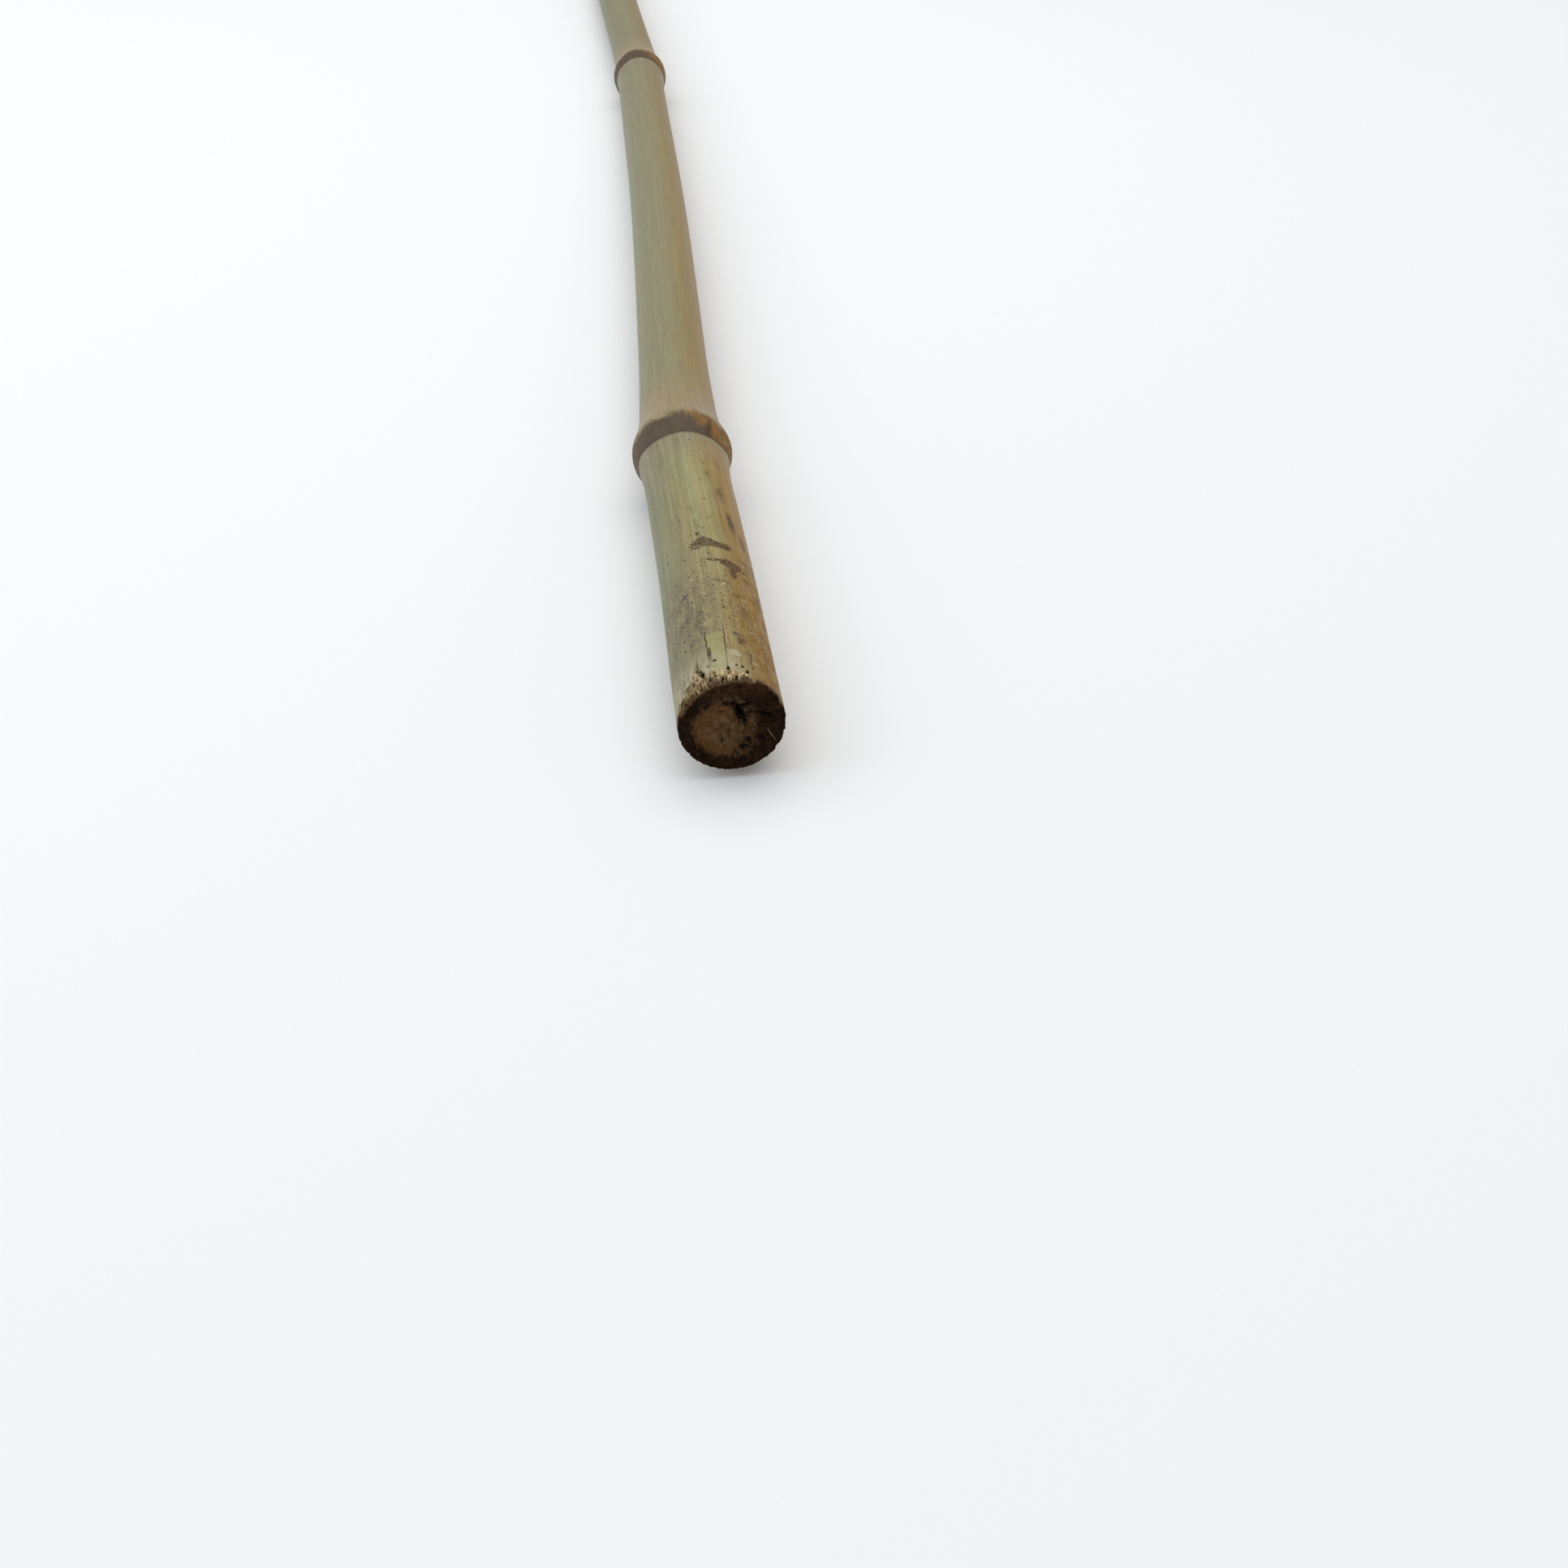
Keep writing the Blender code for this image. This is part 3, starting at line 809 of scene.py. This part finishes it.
def makeSkin():
    material, shader = newMaterial("caneSkin", skin["green"])
    point, torn, pit = attribute("skinPoint", "Vector"), attribute("torn"), attribute("pit")
    x, along, z = apart(point)
    degrees = times(calc("ARCTAN2", times(x, -1.0), z), 180.0 / math.pi)
    arcLength = times(degrees, arcPerDegree)
    flat = joined(arcLength, along)
    # grain: fine lines along the cane, at three widths
    fine = grain(point, (3.0, 0.07, 3.0), 2.0, 0.6)
    lines = grain(point, (1.5, 0.018, 1.5), 3.0, 0.6, offset=(7.0, 1.0, 3.0))
    broad = grain(point, (0.42, 0.02, 0.42), 2.0, offset=(1.0, 6.0, 2.0))
    cloud = grain(point, (0.3, 0.11, 0.3), 4.0, 0.6, offset=(4.0, 2.0, 9.0))
    mottle = grain(point, (0.9, 0.38, 0.9), 5.0, 0.68, offset=(2.0, 8.0, 5.0))
    tiny = grain(point, (5.0, 2.6, 5.0), 3.0, 0.65)
    # ground colour: greener and greyer to the left of the top, ochre to the right and below
    wavy = swing(cloud, 44.0, degrees)
    rightness = fade(wavy, 6.0, -56.0)
    leftness = fade(wavy, 4.0, 52.0)
    beneath = fade(calc("ABSOLUTE", wavy), 95.0, 150.0)
    colour = laid(skin["green"], "straw", fade(broad, 0.36, 0.66))
    colour = laid(colour, "grey", leftness, 0.85)
    colour = laid(colour, "ochre", rightness, 0.92)
    colour = laid(colour, "straw", beneath, 0.6)
    beyond = fade(along, 60.0, 84.0)
    farTone = laid(skin["farGrey"], "farStraw", fade(wavy, 20.0, -40.0))
    farTone = laid(farTone, "farOchre", fade(wavy, -30.0, -85.0, 0.0, 0.75))
    farTone = laid(farTone, "farShade", fade(along, 170.0, 330.0, 0.0, 0.3))
    colour = mixed(times(beyond, 0.85), colour, farTone)
    # pinkish skin on the far slope of each swelling, a paler and greyer shoulder just below each scar
    for ring in nodeRings:
        place = ring["at"] * 1000.0
        slope = times(fade(along, place - 4.0, place - 1.5), fade(along, place + 22.0, place + 6.0))
        colour = laid(colour, "pink", slope, 0.8)
        shoulder = times(fade(along, place - 14.0, place - 6.6), fade(along, place - 5.3, place - 5.8))
        shoulder = times(shoulder, fade(mottle, 0.25, 0.62, 0.25, 0.8))
        colour = laid(colour, "shoulder", shoulder)
    # grain and mottling over the ground
    calmer = timesPlus(beyond, -0.45, 1.0)
    shade = timesPlus(times(minus(lines, 0.5), calmer), 0.5, 1.0)
    shade = times(shade, timesPlus(times(minus(fine, 0.5), calmer), 0.8, 1.0))
    shade = times(shade, swing(mottle, 0.42, 1.0))
    shade = times(shade, swing(tiny, 0.28, 1.0))
    colour = shaded(colour, shade)
    wornZone = fade(along, 34.0, 20.0)
    worn = times(wornZone, fade(mottle, 0.4, 0.64))
    rubbed = times(fade(along, 20.0, 4.0), fade(wavy, 4.0, -40.0), fade(mottle, 0.3, 0.6))
    colour = laid(colour, "rubbed", rubbed, 0.6)
    wornColour = laid(skin["shoulder"], "rubbed", fade(wavy, 8.0, -20.0))
    colour = mixed(times(worn, 0.5), colour, wornColour)
    scuffed = times(bandOf(along, 15.0, 15.0), bandOf(degrees, 34.0, 46.0))
    scuffed = times(scuffed, fade(timesPlus(tiny, 0.35, mottle), 0.56, 0.78))
    colour = laid(colour, "scuff", scuffed)
    # ragged edges for every mark
    ragged = scaled(unevenness(point, 2.2), 1.75)
    raggedFlat = vectorCalc("ADD", flat, ragged)
    slight = vectorCalc("ADD", flat, scaled(ragged, 0.55))
    stain = marksMask(raggedFlat, stainMarks, 0.14)
    brown = marksMask(raggedFlat, brownMarks, 0.34)
    faint = marksMask(raggedFlat, faintMarks, 0.22)
    purple = marksMask(raggedFlat, darkMarks, 0.2)
    pale = marksMask(raggedFlat, paleMarks, 0.16)
    grainy = times(fade(fine, 0.3, 0.56, 0.6, 1.0), fade(tiny, 0.36, 0.56, 0.52, 1.0))
    colour = laid(colour, "brown", largest(brown, times(faint, 0.6)), 0.74)
    colour = laid(colour, "stain", purple, 0.72)
    colour = laid(colour, "stain", times(stain, grainy), 1.0)
    # specks: small dark pits, thick near the butt
    specks = None
    nearButt = times(fade(along, 50.0, 25.0), timesPlus(bandOf(along, 17.0, 12.0), 0.55, 0.45))
    nearButt = times(nearButt, fade(degrees, -105.0, 5.0, 0.5, 1.0))
    nearButt = largest(times(nearButt, fade(cloud, 0.34, 0.6, 0.45, 1.0)), 0.05)
    for scale, size, share, seed in speckKinds:
        cells = cellsOf(stretched(slight, (1.0, 0.8, 0.0), (seed, seed, 0.0)), scale)
        chance = channels(cells["Color"])[0]
        present = calc("LESS_THAN", chance, times(nearButt, share))
        dot = times(fade(cells["Distance"], size, size * 0.4), present)
        specks = either(specks, dot)
    colour = laid(colour, "speck", specks, 0.84)
    chips = cellsOf(stretched(raggedFlat, (1.0, 0.7, 0.0), (51.0, 5.0, 0.0)), 1.5)
    chipChance = channels(chips["Color"])[1]
    chipped = times(fade(chips["Distance"], 0.2, 0.08), calc("LESS_THAN", chipChance, 0.3))
    chipped = times(chipped, times(bandOf(along, 19.0, 11.0), fade(cloud, 0.38, 0.58)))
    colour = laid(colour, "pale", largest(times(chipped, 0.7), pale), 0.7)
    wobble = minus(grain(point, (0.3, 1.3, 0.3), 3.0), 0.5)
    wobbled = timesPlus(wobble, 0.35, arcLength)
    # the smooth tongue of bared wood, and the cracks on both sides of it
    tongue = fade(calc("ABSOLUTE", minus(wobbled, 9.3 * arcPerDegree)), 1.1, 0.98)
    tongue = times(tongue, fade(swing(fine, 1.4, along), 10.8, 10.5))
    colour = laid(colour, "tongue", tongue, 0.66)
    broken = fade(grain(point, (0.6, 0.8, 0.6), 3.0, 0.6, offset=(9.0, 0.0, 4.0)), 0.42, 0.56, 0.15, 1.0)
    cracks = linesMask(wobbled, along, openCracks)
    cracks = largest(cracks, times(linesMask(wobbled, along, dashedCracks), times(broken, 0.45)))
    colour = laid(colour, "line", cracks, 0.86)
    scratch = spot(slight, (4.1, 20.75), (0.95, 0.17), 1.3, 0.7, -34.0)
    colour = laid(colour, "inkBlue", scratch, 0.85)
    # each node's scar: dark on its slope, with a ragged far edge and a warm stretch to the right
    scarWave = grain(point, (0.55, 0.25, 0.55), 4.0, 0.65, offset=(6.0, 0.0, 2.0))
    scarFine = grain(point, (3.6, 0.8, 3.6), 3.0, 0.6)
    scar, warm, creaseShade = None, None, None
    slanted = swing(scarWave, 30.0, degrees)
    slanted = swing(scarFine, 26.0, slanted)
    for ring in nodeRings:
        place = ring["at"] * 1000.0
        farEdge = swing(scarWave, 4.5, place - 0.5)
        farEdge = swing(scarFine, 1.6, farEdge)
        farEdge = plus(farEdge, fade(degrees, -35.0, -75.0, 0.0, 1.2))
        edge = fade(minus(along, farEdge), 1.1, -0.9)
        nearLip = fade(along, place - 5.8, place - 5.3)
        band = times(edge, nearLip)
        scar = either(scar, band)
        # the crease under each lip: a groove in the bump, and painted shade in the colour
        line = times(fade(along, place - 6.1, place - 5.75), fade(along, place - 5.2, place - 5.55))
        creaseShade = either(creaseShade, line)
        turned = timesPlus(minus(place - 0.6, along), 7.0, slanted)
        here = times(fade(turned, 10.0, -26.0), bandOf(along, place, 12.0))
        warm = either(warm, here)
    warm = times(fade(warm, 0.05, 0.65), fade(wavy, -165.0, -120.0))
    scarColour = mixed(fade(scarFine, 0.25, 0.75), toned("scar", 1.12), toned("scar", 0.72))
    warmColour = laid(toned("scarWarm", 0.68), "scarWarm", fade(scarFine, 0.36, 0.62))
    scarColour = mixed(times(warm, 0.94), scarColour, warmColour)
    pinkEnd = times(fade(degrees, 45.0, 75.0), fade(scarWave, 0.35, 0.6, 0.2, 0.7))
    scarColour = laid(scarColour, "purple", pinkEnd)
    scarShade = swing(scarFine, 1.1, 1.0)
    scarShade = times(scarShade, swing(mottle, 1.2, 1.0))
    scarColour = shaded(scarColour, scarShade)
    colour = mixed(times(scar, 0.9), colour, scarColour)
    # dark round the buds of the first and third node, and painted shade in the crease under each lip
    budMarks = [("long", ring["at"] * 1000.0 - 3.8, ring["bud"] - 92.0, 0.5) for ring in nodeRings[::2]]
    colour = mixed(times(marksMask(slight, budMarks, 0.35), 0.75), colour, toned("scar", 0.6))
    colour = mixed(times(creaseShade, 0.5), colour, toned("scar", 0.5))
    # torn rim: bared fibres, with painted shade that makes them darker the deeper they lie
    strands = grain(point, (2.7, 0.55, 2.7), 4.0, 0.62, offset=(1.0, 3.0, 1.0))
    fibre = laid(skin["fibreDark"], "fibre", fade(strands, 0.3, 0.56))
    # painted shade: darker fibres where the tear goes deeper
    fibre = laid(fibre, "fibreDark", times(fade(torn, 0.5, 1.0, 0.0, 0.8), fade(mottle, 0.42, 0.6)))
    fibre = laid(fibre, "brown", times(fade(degrees, 26.0, 60.0, 0.0, 0.8), fade(mottle, 0.36, 0.54)))
    fibre = laid(fibre, "rimBrown", fade(mottle, 0.53, 0.62, 0.0, 0.65))
    bared = fade(torn, 0.04, 0.14)
    colour = mixed(times(bared, fade(tiny, 0.34, 0.48, 0.35, 1.0)), colour, fibre)
    paleRim = times(fade(along, 9.0, 3.0), fade(mottle, 0.38, 0.58))
    paleRim = times(paleRim, minus(1.0, bared), fade(degrees, -40.0, 0.0))
    colour = laid(colour, "pale", paleRim, 0.68)
    # painted shade: the rim's holes near black inside
    holes = fade(swing(strands, 0.5, pit), 0.25, 0.7)
    colour = laid(colour, "hole", holes)
    rimEdge = swing(scarFine, 2.4, along)
    rimEdge = swing(mottle, 2.4, rimEdge)
    rimEdge = times(fade(rimEdge, 0.74, 0.4), fade(along, 2.0, 0.9, 0.0, 0.92))
    colour = laid(colour, "rimBrown", rimEdge)
    # gloss: waxy, duller on stains, scars and bared fibres
    dull = largest(stain, scar, largest(bared, worn))
    dull = largest(times(largest(holes, cracks), 1.9), dull)
    rough = swing(mottle, 0.22, skin["roughness"])
    rough = timesPlus(dull, 0.22, rough, clamp=True)
    finishShader(shader, colour, rough, skin["shine"])
    relief(shader, skin["bumpStrength"], skin["bumpDepth"], times(lines, 0.9), (fine, 0.45), (tiny, 0.25),
        (specks, -0.9), (cracks, -1.6), (scratch, -0.8), (chipped, 0.7), (times(wornZone, tiny), 1.4),
        (tongue, -0.9), (creaseShade, -1.2), (times(scar, scarFine), 1.2), (times(bared, strands), 2.6))
    return material


def cellsOf(vector, scale):
    return addNode("ShaderNodeTexVoronoi", {"Vector": vector, "Scale": scale},
        voronoi_dimensions="2D").outputs


def bandOf(value, centre, width):
    # 1 at the centre, falling smoothly to 0 at the width to both sides
    off = calc("ABSOLUTE", minus(value, centre))
    return fade(off, width, 0.0)


# cut faces
cutLook = {
    "ring": (0.012, 0.005, 0.0016), "ringPale": (0.074, 0.034, 0.012), "tan": (0.15, 0.084, 0.034),
    "tanDark": (0.07, 0.034, 0.0125), "warmEdge": (0.135, 0.06, 0.015), "pith": (0.095, 0.047, 0.017),
    "pithDark": (0.014, 0.006, 0.0022), "grey": (0.25, 0.165, 0.088), "crack": (0.0015, 0.0008, 0.0004),
    "tipRing": (0.2, 0.115, 0.048), "tipPith": (0.36, 0.25, 0.13), "roughness": 0.9, "shine": 0.08,
    "bumpStrength": 0.9, "bumpDepth": 0.00016,
}
# hollows of the butt's face, sunk into it and painted near black as the shade inside them: mm across and up
# from its middle, radii across and up, and depth in mm
hollows = (
    (-0.6, 2.45, 0.42, 0.22, 0.5), (0.2, 2.25, 0.5, 0.3, 0.8), (1.0, 2.0, 0.5, 0.3, 0.8),
    (1.9, 2.15, 0.62, 0.24, 0.6), (0.85, 1.25, 0.42, 0.5, 1.2), (1.15, 0.5, 0.5, 0.62, 1.4),
    (1.6, -0.3, 0.38, 0.5, 0.9), (2.5, 1.0, 0.6, 0.24, 0.4), (4.5, 0.6, 0.58, 0.42, 0.7),
    (3.6, 0.8, 0.5, 0.24, 0.4), (-1.2, -2.6, 0.28, 0.26, 0.4), (1.4, -3.7, 0.46, 0.28, 0.5),
    (2.0, -2.8, 0.38, 0.36, 0.5), (3.3, -2.4, 0.5, 0.26, 0.3), (-2.6, 2.6, 0.5, 0.24, 0.3),
    (-1.2, 1.5, 0.36, 0.22, 0.2),
)


def makeCutFace():
    material, shader = newMaterial("cutPith", cutLook["tan"])
    across, up, share = apart(attribute("facePoint", "Vector"))
    along = apart(attribute("skinPoint", "Vector"))[1]
    flat = joined(across, up, times(along, 0.05))
    cloud = noiseOf(flat, 0.42, 4.0, 0.62)
    rough = noiseOf(flat, 1.5, 6.0, 0.75, distortion=0.6)
    grit = noiseOf(flat, 5.5, 4.0, 0.7)
    clumps = noiseOf(flat, 1.25, 6.0, 0.62, distortion=0.5)
    threads = noiseOf(stretched(flat, (1.0, 0.42, 1.0)), 2.2, 4.0, 0.6, distortion=0.7)
    cells = addNode("ShaderNodeTexVoronoi", {"Vector": flat, "Scale": 2.4})
    ends = fade(cells.outputs["Distance"], 0.14, 0.42)
    # a tan middle, a darker zone round it and the nearly black ring
    shifted = vectorCalc("SUBTRACT", flat, (-1.3, -0.9, 0.0))
    fromTan = calc("DIVIDE", measure("LENGTH", shifted), 6.0)
    fromTan = swing(rough, 0.5, fromTan)
    fromTan = swing(cloud, 0.5, fromTan)
    ringy = swing(rough, 0.34, share)
    clumpy = fade(clumps, 0.34, 0.66)
    tan = mixed(clumpy, cutLook["tanDark"], cutLook["tan"])
    pith = mixed(clumpy, cutLook["pithDark"], cutLook["pith"])
    colour = mixed(fade(fromTan, 0.58, 0.3), pith, tan)
    warmEdge = times(bandOf(fromTan, 0.46, 0.2), fade(across, 1.5, -1.0, 0.0, 0.75))
    colour = mixed(warmEdge, colour, cutLook["warmEdge"])
    strands = times(fade(threads, 0.5, 0.64), fade(cloud, 0.42, 0.6, 0.3, 1.0))
    colour = mixed(times(strands, 0.5), colour, cutLook["grey"])
    ringSpots = times(fade(clumps, 0.44, 0.64), fade(ends, 1.0, 0.2, 0.3, 1.0))
    ringSpots = largest(ringSpots, times(fade(up, 2.6, 4.6), fade(rough, 0.36, 0.62, 0.1, 0.7)))
    ringColour = mixed(ringSpots, cutLook["ring"], cutLook["ringPale"])
    ring = largest(fade(ringy, 0.66, 0.82), fade(fromTan, 0.66, 0.92))
    colour = mixed(ring, colour, ringColour)
    shade = swing(grit, 0.8, 1.0)
    shade = largest(times(shade, swing(rough, 1.2, 1.0)), 0.08)
    colour = shaded(colour, shade)
    # hollows, on the butt only, painted near black as the shade inside them
    dark = None
    wobbled = vectorCalc("ADD", flat, scaled(unevenness(flat, 1.3), 1.6))
    for x, y, width, height, depth in hollows:
        shadedHollow = times(spot(wobbled, (x, y), (width, height), 1.45, 0.65), min(1.0, 0.55 + 0.4 * depth))
        dark = either(dark, shadedHollow)
    stroke = spot(flat, (4.75, -1.9), (0.05, 0.95), 1.2, 0.8, 33.0)
    colour = laid(colour, "fibre", stroke, 0.34)
    isButt = calc("LESS_THAN", along, 500.0 * cane["length"])
    # painted shade: the hollows near black on the butt's face
    colour = mixed(times(dark, isButt), colour, cutLook["crack"])
    tip = mixed(fade(ringy, 0.62, 0.86), cutLook["tipPith"], cutLook["tipRing"])
    tip = mixed(times(fade(ends, 0.7, 0.1), fade(share, 0.45, 0.75)), tip, cutLook["pith"])
    tip = shaded(tip, shade)
    tip = mixed(fade(swing(rough, 0.4, share), 0.14, 0.0, 0.0, 0.6), tip, cutLook["tanDark"])
    colour = mixed(isButt, tip, colour)
    finishShader(shader, colour, cutLook["roughness"], cutLook["shine"])
    relief(shader, cutLook["bumpStrength"], cutLook["bumpDepth"], times(rough, 1.6), (ends, -0.6),
        (grit, 0.8), (strands, 0.8))
    return material


# loose fibres: at the torn rim and on the lips of the scars
looseFibres = {"rimCount": 260, "rimLength": 0.00085, "rimWidth": 0.00006, "seed": 11,
               "lipCount": 70, "lipLength": 0.0011, "lipWidth": 0.00005, "lipSeed": 23}
fibreLook = {"pale": (0.42, 0.28, 0.14), "dark": (0.1, 0.05, 0.022), "roughness": 0.6}


def makeFibreMaterial():
    material, shader = newMaterial("bareFibre", fibreLook["pale"])
    point = addNode("ShaderNodeTexCoord").outputs["Object"]
    value = noiseOf(scaled(point, 1000.0), 2.6, 2.0)
    put(shader.inputs["Base Color"], mixed(fade(value, 0.36, 0.6), fibreLook["dark"], fibreLook["pale"]))
    put(shader.inputs["Roughness"], fibreLook["roughness"])
    return material


def makeFibreTree():
    # strands on the points of a mesh: each lies along its point's direction, bent and tapered
    tree, given, result = newTree("looseFibres",
        {"Length": ("Float", 0.001), "Width": ("Float", 0.00006), "Seed": ("Int", 1),
        "Material": ("Material", None)})
    line = shape("CurvePrimitiveLine", {"Start": (0.0, 0.0, 0.0), "End": (0.0, 0.0, 1.0)})
    line = shape("ResampleCurve", {"Curve": line, "Count": 5})
    part = addNode("GeometryNodeSplineParameter").outputs["Factor"]
    bend = times(part, part, 0.22)
    offset = joined(bend, 0.0)
    line = shape("SetPosition", {"Geometry": line, "Offset": offset})
    taper = minus(1.0, times(calc("POWER", part, 2.0), 0.85))
    profile = shape("CurvePrimitiveCircle", {"Resolution": 5, "Radius": 1.0})
    ratio = calc("DIVIDE", given["Width"], given["Length"])
    strand = shape("CurveToMesh", {"Curve": line, "Profile Curve": profile, "Scale": times(taper, ratio),
        "Fill Caps": True})
    aligned = addNode("FunctionNodeAlignRotationToVector", {"Vector": named("direction", "FLOAT_VECTOR")},
        axis="Z").outputs[0]
    spin = addNode("FunctionNodeRandomValue", {2: 0.0, "Seed": given["Seed"]}, data_type="FLOAT")
    turn = joined(0.0, 0.0, times(spin.outputs[1], math.tau))
    turned = addNode("FunctionNodeEulerToRotation", {0: turn}).outputs[0]
    rotation = addNode("FunctionNodeRotateRotation", {"Rotation": aligned, "Rotate By": turned},
        rotation_space="LOCAL").outputs[0]
    size = times(named("size"), given["Length"])
    made = shape("InstanceOnPoints", {"Points": given["Geometry"], "Instance": strand,
        "Rotation": rotation, "Scale": joined(size, size, size)})
    made = shape("RealizeInstances", {"Geometry": made})
    made = shape("SetMaterial", {"Geometry": made, "Material": given["Material"]})
    put(result["Geometry"], made)
    return tree


def outwardAt(places, along):
    outward = places - axisAt(along)
    return outward / np.linalg.norm(outward, axis=1)[:, None]


def pointsHost(name, places, directions, sizes):
    data = bpy.data.meshes.new(name)
    data.from_pydata([tuple(p) for p in places], [], [])
    addAttribute(data, "direction", directions)
    addAttribute(data, "size", sizes)
    return newObject(name, data)


def rimPoints(body, generator):
    # points on the bared fibres near the cut, each strand pointing at the cut and a little outwards
    data = body.data
    along = readAttribute(data, "along")
    torn = readAttribute(data, "torn")
    share = readAttribute(data, "faceShare")
    places = np.array([vert.co for vert in data.vertices])
    wanted = np.nonzero((torn > 0.12) & (along > 0.0003) & (along < 0.0042) & (share > 1.5))[0]
    chosen = generator.choice(wanted, size=looseFibres["rimCount"], replace=False)
    outward = outwardAt(places[chosen], along[chosen])
    back = np.tile([0.0, -1.0, 0.0], (len(chosen), 1))
    loose = generator.normal(0.0, 0.16, (len(chosen), 3))
    directions = back + outward * generator.uniform(0.02, 0.34, len(chosen))[:, None] + loose
    sizes = generator.uniform(0.35, 1.0, len(chosen)) * np.clip((along[chosen] + 0.0006) / 0.0016, 0.35,
        1.0)
    return pointsHost("rimPoints", places[chosen] - outward * 0.00003, directions, sizes)


def lipPoints(body, generator):
    # points on the lips of the scars; the shreds lie back over the neck
    data = body.data
    along = readAttribute(data, "along")
    places = np.array([vert.co for vert in data.vertices])
    chosen = []
    for ring in nodeRings:
        wanted = np.nonzero(np.abs(along - ring["at"] + 0.0044) < 0.00025)[0]
        chosen.append(generator.choice(wanted, size=looseFibres["lipCount"] // 3, replace=False))
    chosen = np.concatenate(chosen)
    outward = outwardAt(places[chosen], along[chosen])
    back = np.tile([0.0, -1.0, 0.0], (len(chosen), 1))
    directions = back + outward * 0.1 + generator.normal(0.0, 0.22, (len(chosen), 3))
    sizes = generator.uniform(0.25, 1.0, len(chosen))
    return pointsHost("lipPoints", places[chosen] - outward * 0.00002, directions, sizes)


def keepInBox(piece):
    places = np.clip([vert.co for vert in piece.data.vertices], *cadBox)
    piece.data.vertices.foreach_set("co", places.astype(np.float32).ravel())
    piece.data.update()


# stage
stageSizes = {
    "floor": 4.0, "floorColour": (0.86, 0.865, 0.87), "floorRoughness": 0.9, "floorShine": 0.1,
    "world": (0.94, 0.97, 1.0), "worldStrength": 0.56,
    "window": {"place": (-0.62, -0.1, 0.62), "size": 0.75, "power": 2.5, "colour": (0.86, 0.93, 1.0)},
    "overhead": {"place": (0.12, 0.05, 1.05), "size": 1.2, "power": 6.8, "colour": (1.0, 0.98, 0.94)},
}
camera = {"place": (-0.012543, -0.447418, 0.116683), "down": 38.6, "right": 6.95, "lens": 35.404}


def makeStage():
    floorData = bpy.data.meshes.new("floor")
    half = stageSizes["floor"]
    floorData.from_pydata([(-half, -half, -0.0001), (half, -half, -0.0001), (half, half, -0.0001),
        (-half, half, -0.0001)], [], [(0, 1, 2, 3)])
    floor = newObject("floor", floorData)
    material, shader = newMaterial("paleFloor", stageSizes["floorColour"])
    finishShader(shader, (*stageSizes["floorColour"], 1.0), stageSizes["floorRoughness"],
        stageSizes["floorShine"])
    floorData.materials.append(material)
    world = bpy.data.worlds.new("softRoom")
    world.use_nodes = True
    world.node_tree.nodes["Background"].inputs["Color"].default_value = (*stageSizes["world"], 1.0)
    world.node_tree.nodes["Background"].inputs["Strength"].default_value = stageSizes["worldStrength"]
    bpy.context.scene.world = world
    for name in ("window", "overhead"):
        lamp = stageSizes[name]
        light = bpy.data.lights.new(name, "AREA")
        light.size = lamp["size"]
        light.energy = lamp["power"]
        light.color = lamp["colour"]
        holder = newObject(name, light)
        holder.location = lamp["place"]
        aim = Vector((0.0, -0.15, 0.0)) - Vector(lamp["place"])
        holder.rotation_euler = aim.to_track_quat("-Z", "Y").to_euler()


def makeCamera():
    turn, down = math.radians(camera["right"]), math.radians(camera["down"])
    forward = Vector((math.sin(turn) * math.cos(down), math.cos(turn) * math.cos(down), -math.sin(down)))
    data = bpy.data.cameras.new("camera")
    data.lens = camera["lens"]
    data.sensor_width = 36.0
    data.clip_start, data.clip_end = 0.001, 20.0
    holder = newObject("camera", data)
    holder.location = camera["place"]
    holder.rotation_mode = "QUATERNION"
    holder.rotation_quaternion = forward.to_track_quat("-Z", "Y")
    bpy.context.scene.camera = holder


# making
makeCamera()
makeStage()
print("camera, lights and floor made")

skinMaterial = makeSkin()
cutMaterial = makeCutFace()
print("materials made:", len(skinMaterial.node_tree.nodes), "nodes in the skin")

body = runTree(makeLine(), makeBodyTree(), "caneBody", Sides=cane["sides"], OutOfRound=cane["outOfRound"],
    ScarWave=bodySizes["scarWave"], LipWave=bodySizes["lipWave"], RidgeDepth=bodySizes["ridgeDepth"],
    RidgeAcross=bodySizes["ridgeAcross"], FibreDepth=bodySizes["fibreDepth"], BudHeight=bud["height"],
    BudWidth=bud["width"], Seed=bodySizes["seed"], Material=skinMaterial)
body.data.materials.clear()
body.data.materials.append(skinMaterial)
body.data.materials.append(cutMaterial)
print("body swept:", len(body.data.polygons), "faces")

finishEnds(body)
makeBakeMap(body.data)
body.data.shade_smooth()
body.data.set_sharp_from_angle(angle=math.radians(58.0))
print("ends cut and torn:", sum(len(p.vertices) - 2 for p in body.data.polygons), "triangles")

generator = np.random.default_rng(looseFibres["seed"])
fibreMaterial = makeFibreMaterial()
fibreTree = makeFibreTree()
rimFibres = runTree(rimPoints(body, generator), fibreTree, "rimFibres", Length=looseFibres["rimLength"],
    Width=looseFibres["rimWidth"], Seed=looseFibres["seed"], Material=fibreMaterial)
lipFibres = runTree(lipPoints(body, generator), fibreTree, "lipFibres", Length=looseFibres["lipLength"],
    Width=looseFibres["lipWidth"], Seed=looseFibres["lipSeed"], Material=fibreMaterial)
for piece in (rimFibres, lipFibres):
    keepInBox(piece)
    piece.data.shade_smooth()
print("loose fibres:", len(rimFibres.data.polygons), len(lipFibres.data.polygons), "faces")

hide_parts("cane")
for piece in (body, rimFibres, lipFibres):
    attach(piece, "root")
